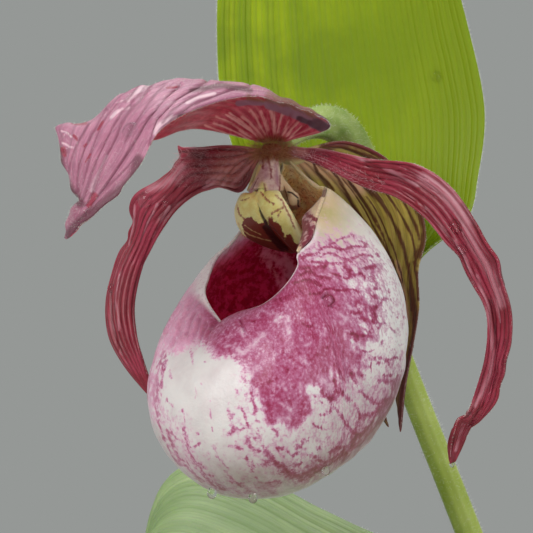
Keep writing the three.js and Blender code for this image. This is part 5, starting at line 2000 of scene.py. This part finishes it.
COLUMN_PARTS = [
    limb([(0.6, 6.4, 20.8), (0.4, 5.6, 17.2), (0.1, 4.7, 13.0)], [1.35, 1.9, 2.75], 0.85),
    limb([(1.6, 6, 15.4), (2.6, 6.6, 13.4), (3.4, 7.2, 11.4)], [1.2, 1.2, 1.2]),
    limb([(1.8, 5.2, 15.2), (3.2, 4.9, 13.9), (4.3, 4.8, 12.6)], [0.7, 0.6, 0.6]),
    limb([(-0.4, 7.6, 19.2), (-1.9, 7.9, 16), (-3.1, 7.7, 12.9)], [0.5, 0.5, 0.4]),
    blob((3.8, 7.3, 10.6), (2.2, 2.2, 1.0)),
    blob((4.7, 4.7, 11.5), (1.1, 1.0, 1.35)),
    blob((-1.2, 8, 12.8), (1.3, 1.2, 1.6)),
    blob((-2.3, 5.2, 13.2), (0.8, 0.8, 1.35)),
    blob((0.8, 3.7, 13.3), (1.7, 1.1, 1.35)),
    blob((0.9, 5.4, 20.1), (1.9, 1.4, 1.2)),
    blob((4.4, 9.4, 19.2), (2.8, 1.5, 1.7)),
]
COLUMN_REDS = """
2.4 268,155 269,163 271,170
1.6 271,168 271,178
2.2 263,155 263,168
1.3 280,176 280,186 279,195
2.6 276,152 277,160
1.0 248,190 247,194 251,197 255,197 258,191
0.9 262,189 265,192 268,196 273,197 279,194
1.6 264,184 266,192
0.9 258,178 252,190
0.9 284,186 287,197 290,206
"""
COLUMN_HOOKS = """
1.0 288,192 292,193 298,198
0.9 298,200 298,206 302,209 309,209
"""
COLUMN_MAUVE = """
5.5 265,154 266,164 265,176
4 250,190 254,196
3 276,165 278,185
"""
COLUMN_SALLOW = """
6 263,186 263,200
2.5 260,166 253,180 247,190
4 294,212 302,222
"""
column_points, column_faces = [], []
for points, faces in COLUMN_PARTS:
    start = sum(len(p) for p in column_points)
    column_points.append(points)
    column_faces += [tuple(start + k for k in f) for f in faces]
column_skin, tree, shader = new_material("pinkish_white_column")
place = add_node(tree, "TexCoord").outputs["Object"]
part = add_node(tree, "SeparateXYZ", {0: place})
clouds = speckle(tree, 2.0)
fine = speckle(tree, 0.5)
colour = over(tree, "#dcc2b4", "#bc928e", clouds, 0.35, 0.65)
nearside = product(tree, (part.outputs[0], (FLOWER[0] + 1.9) * MM, (FLOWER[0] + 2.8) * MM))
colour = over(tree, colour, "#d6b88c", product(tree, nearside, 0.85))
farside = product(tree, (part.outputs[1], (FLOWER[1] + 6.8) * MM, (FLOWER[1] + 7.2) * MM))
colour = over(tree, colour, "#c3c08a", product(tree, farside, 0.8))
colour = over(tree, colour, "#a06a5c", fine, 0.58, 0.68, 0, 0.3)
colour = over(tree, colour, "#a0647a", inked(tree, "mauve", clouds, 1.4, 1.1, 0.65))
colour = over(tree, colour, "#d9cf7c", inked(tree, "sallow", clouds, 0.8, 0.8, 0.85))
colour = over(tree, colour, "#7c1a2c", inked(tree, "reds", fine, 1.6, 1.0, 0.85))
colour = over(tree, colour, "#2e1012", inked(tree, "hooks", fine, 0.4, 0.4, 0.95))
knot = product(tree, (part.outputs[2], (FLOWER[2] + 17.6) * MM, (FLOWER[2] + 19) * MM))
colour = over(tree, colour, "#8c4a30", knot)
petal_finish(shader, tree, colour, fine, 0.42, 0.3)
column_points = np.concatenate(column_points) + FLOWER
column = new_piece("column_and_anthers", column_points, column_faces, [column_skin])
joined = column.modifiers.new("joined", "REMESH")
joined.mode = "VOXEL"
joined.voxel_size = 0.00016
joined.use_smooth_shade = True
softened = column.modifiers.new("softened", "SMOOTH")
softened.factor = 0.5
softened.iterations = 6
apply_modifiers(column)
column_shape = np.zeros(len(column.data.vertices) * 3)
column.data.vertices.foreach_get("co", column_shape)
column_shape = column_shape.reshape(-1, 3) / MM - FLOWER
in_front = np.where(column_shape[:, 1] < 6.6, 0, -1)
column_places = seen_at(column_shape)
COLUMN_PAINT = {"reds": COLUMN_REDS, "hooks": COLUMN_HOOKS, "mauve": COLUMN_MAUVE, "sallow": COLUMN_SALLOW}
for key, strokes in COLUMN_PAINT.items():
    painted(column, key, np.minimum(stroked(column_places, strokes), 1 + 2 * in_front))
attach(column, "root")
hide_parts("column")
throat_hair, tree, shader = new_material("brown_throat_hair")
wire(shader, {"Base Color": linear("#b07a50"), "Roughness": 0.6})
top = column_shape[(column_shape[:, 2] > 18.4) & (column_shape[:, 1] < 6.5)]
THROAT_HAIRS = 1500
roots = top[rng.integers(0, len(top), THROAT_HAIRS)]
roots = roots + rng.normal(scale=(1.1, 0.3, 0.4), size=(THROAT_HAIRS, 3))
ways = (roots - [0.9, 6.5, 20.0]) * [1, 1, 1.2] + [0, -0.8, 0]
ways = unit(ways + rng.normal(scale=0.7, size=(THROAT_HAIRS, 3)))
throat_lengths = rng.uniform(0.5, 1.6, THROAT_HAIRS)
throat_pile = hair_coat("throat_hairs", roots + FLOWER, ways, throat_lengths, 0.028, throat_hair, True)
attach(throat_pile, "root")


# Staminode: the shield hung from the column's end over the mouth. Waxy yellow with a maroon
# blotch over its lower half, a groove down its middle and a thin red line inside its edge.
SHIELD_FAR = [
    (-2, 5, 12.4), (-4.8, 6.6, 10.9), (-5.3, 7.2, 8.6), (-3.9, 7.8, 5.6), (0.3, 8.2, 3.4), (4.6, 8.2, 2.6),
]
SHIELD_MID = [
    (-0.6, 3.8, 12.6), (-1.4, 3.2, 11), (-0.6, 3.4, 8.8), (1.2, 4.2, 6.4), (3.2, 5.8, 4.2), (5.1, 7.5, 2.6),
]
SHIELD_NEAR = [
    (0.9, 3, 12.4), (2.8, 1.8, 11.6), (4.1, 1.2, 9.6), (5.4, 1.4, 7), (6.5, 3, 4.4), (5.7, 6.8, 2.5),
]
SHIELD_BLOTCH = """
243,223 248,215 253,216 257,220 262,222 266,218 268,223 270,221 269,216 273,216 275,220 279,219
282,225 285,232 286,237 287,233 291,232 294,236 296,240 301,243 303,249 298,256 280,258 262,250
250,241 245,233
"""
SHIELD_CREAM = """
0.9 243,228 250,233 262,237 272,239
0.8 246,224 253,229 262,233
1.2 240,222 243,232 250,240
"""
SHIELD_RIM = """
1.4 239,206 241,213 246,219
1.4 276,196 283,202 289,213 296,227
1.6 273,213 278,210 284,208
1.4 279,216 281,211
1.5 262,194 268,200 274,204
1.2 243,201 250,199
"""
SHIELD_GROOVE = """
1.1 259,203 260,210
1.8 260,210 263,217 268,226 276,236 288,248
4 266,226 275,238 283,247
"""
SHIELD_NUDGES = """
244,199 -1,-4 6
276,194 3,-3 5
"""
shield_skin, tree, shader = new_material("waxy_yellow_shield")
part = add_node(tree, "SeparateXYZ", {0: add_node(tree, "UVMap", uv_map="run")})
blots = speckle(tree, 1.1, 5.0, 0.65)
fine = speckle(tree, 0.5)
from_middle = add_node(tree, "Math", {0: part.outputs[1], 1: 0.5}, operation="SUBTRACT")
from_middle = add_node(tree, "Math", {0: from_middle, 1: 0.0}, operation="ABSOLUTE")
colour = over(tree, "#fcf2a2", "#f2e088", blots, 0.35, 0.65)
colour = over(tree, colour, "#f4e8b0", from_middle, 0.32, 0.46)
blotchy = summed(tree, "blotch", (blots, 0.5, 2.2), (fine, 0.5, 2.0))
colour = over(tree, colour, "#7e0c1c", blotchy, -0.1, 0.35, 0, 0.96)
colour = over(tree, colour, "#e2bc84", inked(tree, "cream", fine, 1.8, 0.9, 0.8))
colour = over(tree, colour, "#9a3038", inked(tree, "rim", fine, 3.2, 0.9, 0.8))
colour = over(tree, colour, "#2a0508", inked(tree, "groove", fine, 0.8, 0.6, 0.9))
petal_finish(shader, tree, colour, fine, 0.3, 0.45)
shield_surface, s, t = ribbon_surface(SHIELD_FAR, SHIELD_MID, SHIELD_NEAR, 90, 81)
groove_depth = -0.5 * np.exp(-(((t - 0.5) / 0.05) ** 2))
groove_depth = groove_depth * np.clip((s - 0.1) / 0.2, 0, 1) * np.clip((1 - s) / 0.1, 0, 1)
towards = np.sign(-normals_of(shield_surface)[..., 1])
brow = 0.35 * np.exp(-(((np.abs(t - 0.5) - 0.27) / 0.13) ** 2)) * np.clip(1 - s / 0.35, 0, 1)
shield_surface = raised(shield_surface, towards * (groove_depth + brow))
shoulders = 1.1 * np.clip(1 - s / 0.2, 0, 1) * np.exp(-(((t - 0.5) / 0.1) ** 2))
shield_surface = shield_surface + shoulders[..., None] * np.array([0, 0, 1.0])
shield_surface = pushed(shield_surface, SHIELD_NUDGES)
shield = sheet_piece("yellow_shield", shield_surface + FLOWER, 0.45, [shield_skin], 0.5)
places = seen_at(shield_surface)
blotch = outlined(places, SHIELD_BLOTCH) / 2.5
painted(shield, "blotch", np.tile(np.clip(blotch, -1, 1).ravel(), 2))
drawn_on(shield, shield_surface, cream=SHIELD_CREAM, rim=SHIELD_RIM, groove=SHIELD_GROOVE)
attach(shield, "root")
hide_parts("staminode")


# Water: a few clear drops, domed where they lie on petals and pear-shaped where they hang. Each
# is set on the first surface that a sight line from the camera meets.
RESTING_DROPS = [
    (131, 131, 1.45), (66, 136, 0.75), (66, 152, 0.7), (456, 226, 1.15), (461, 249, 0.9), (146, 200, 1.5),
    (166, 203, 0.75), (112, 288, 0.8), (436, 76, 1.0), (328, 301, 0.8), (389, 430, 0.75), (468, 434, 0.55),
]
HANGING_DROPS = [(212, 488, 0.85), (253, 493, 0.8), (326, 466, 0.75), (409, 341, 0.85), (452, 461, 0.5)]
water, tree, shader = new_material("clear_water")
wire(shader, {
    "Base Color": linear("#ffffff"), "Roughness": 0.0, "IOR": 1.333, "Transmission Weight": 1.0,
    "Alpha": 0.55,
})
wet_pieces = [hood, lower_sepal, lip, bract, shield]
wet_pieces += [bpy.data.objects["ribbed_" + name] for name in petal_surfaces]
lens = FLOWER - [0, CAMERA_DISTANCE, 0]
skins = []
for piece in wet_pieces:
    corners = [tuple(v.co) for v in piece.data.vertices]
    skins.append(BVHTree.FromPolygons(corners, [tuple(p.vertices) for p in piece.data.polygons]))


def first_met(across, down):
    """The first point, and the way out of the skin there, on a sight line through the picture."""
    at = np.array([across - PICTURE_MIDDLE, 0, PICTURE_MIDDLE - down]) * [PICTURE_STEP, 0, PICTURE_STEP]
    way = unit(FLOWER + at - lens)
    met = [skin.ray_cast(Vector(lens * MM), Vector(way)) for skin in skins]
    met = [hit for hit in met if hit[0] is not None]
    if not met:
        return None, None
    spot, normal = min(met, key=lambda hit: hit[3])[:2]
    normal = np.array(normal) * (-1 if normal.dot(Vector(way)) > 0 else 1)
    return np.array(spot) / MM, normal


drop_points, drop_faces = [], []
for across, down, radius in RESTING_DROPS:
    spot, normal = first_met(across, down)
    if spot is None:
        continue
    points, faces = blob((0, 0, 0), (radius, radius, radius * 0.75), 28)
    side = unit(np.cross(normal, [0, 0, 1.0]))
    turned = points[:, :1] * side + points[:, 1:2] * np.cross(normal, side) + points[:, 2:] * normal
    start = sum(len(p) for p in drop_points)
    drop_points.append(turned + spot + normal * radius * 0.12)
    drop_faces += [tuple(start + k for k in f) for f in faces]
for across, down, radius in HANGING_DROPS:
    spot, normal = first_met(across, down)
    for step in range(1, 12):
        if spot is not None:
            break
        spot, normal = first_met(across, down - step)
    if spot is None:
        continue
    points, faces = blob((0, 0, 0), (radius, radius, radius * 1.25), 28)
    points[:, :2] *= (1 - 0.28 * np.clip(points[:, 2:] / radius, 0, 1.2))
    start = sum(len(p) for p in drop_points)
    drop_points.append(points + spot - [0, 0, radius * 0.9])
    drop_faces += [tuple(start + k for k in f) for f in faces]
drops = new_piece("water_drops", np.concatenate(drop_points), drop_faces, [water])
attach(drops, "root")
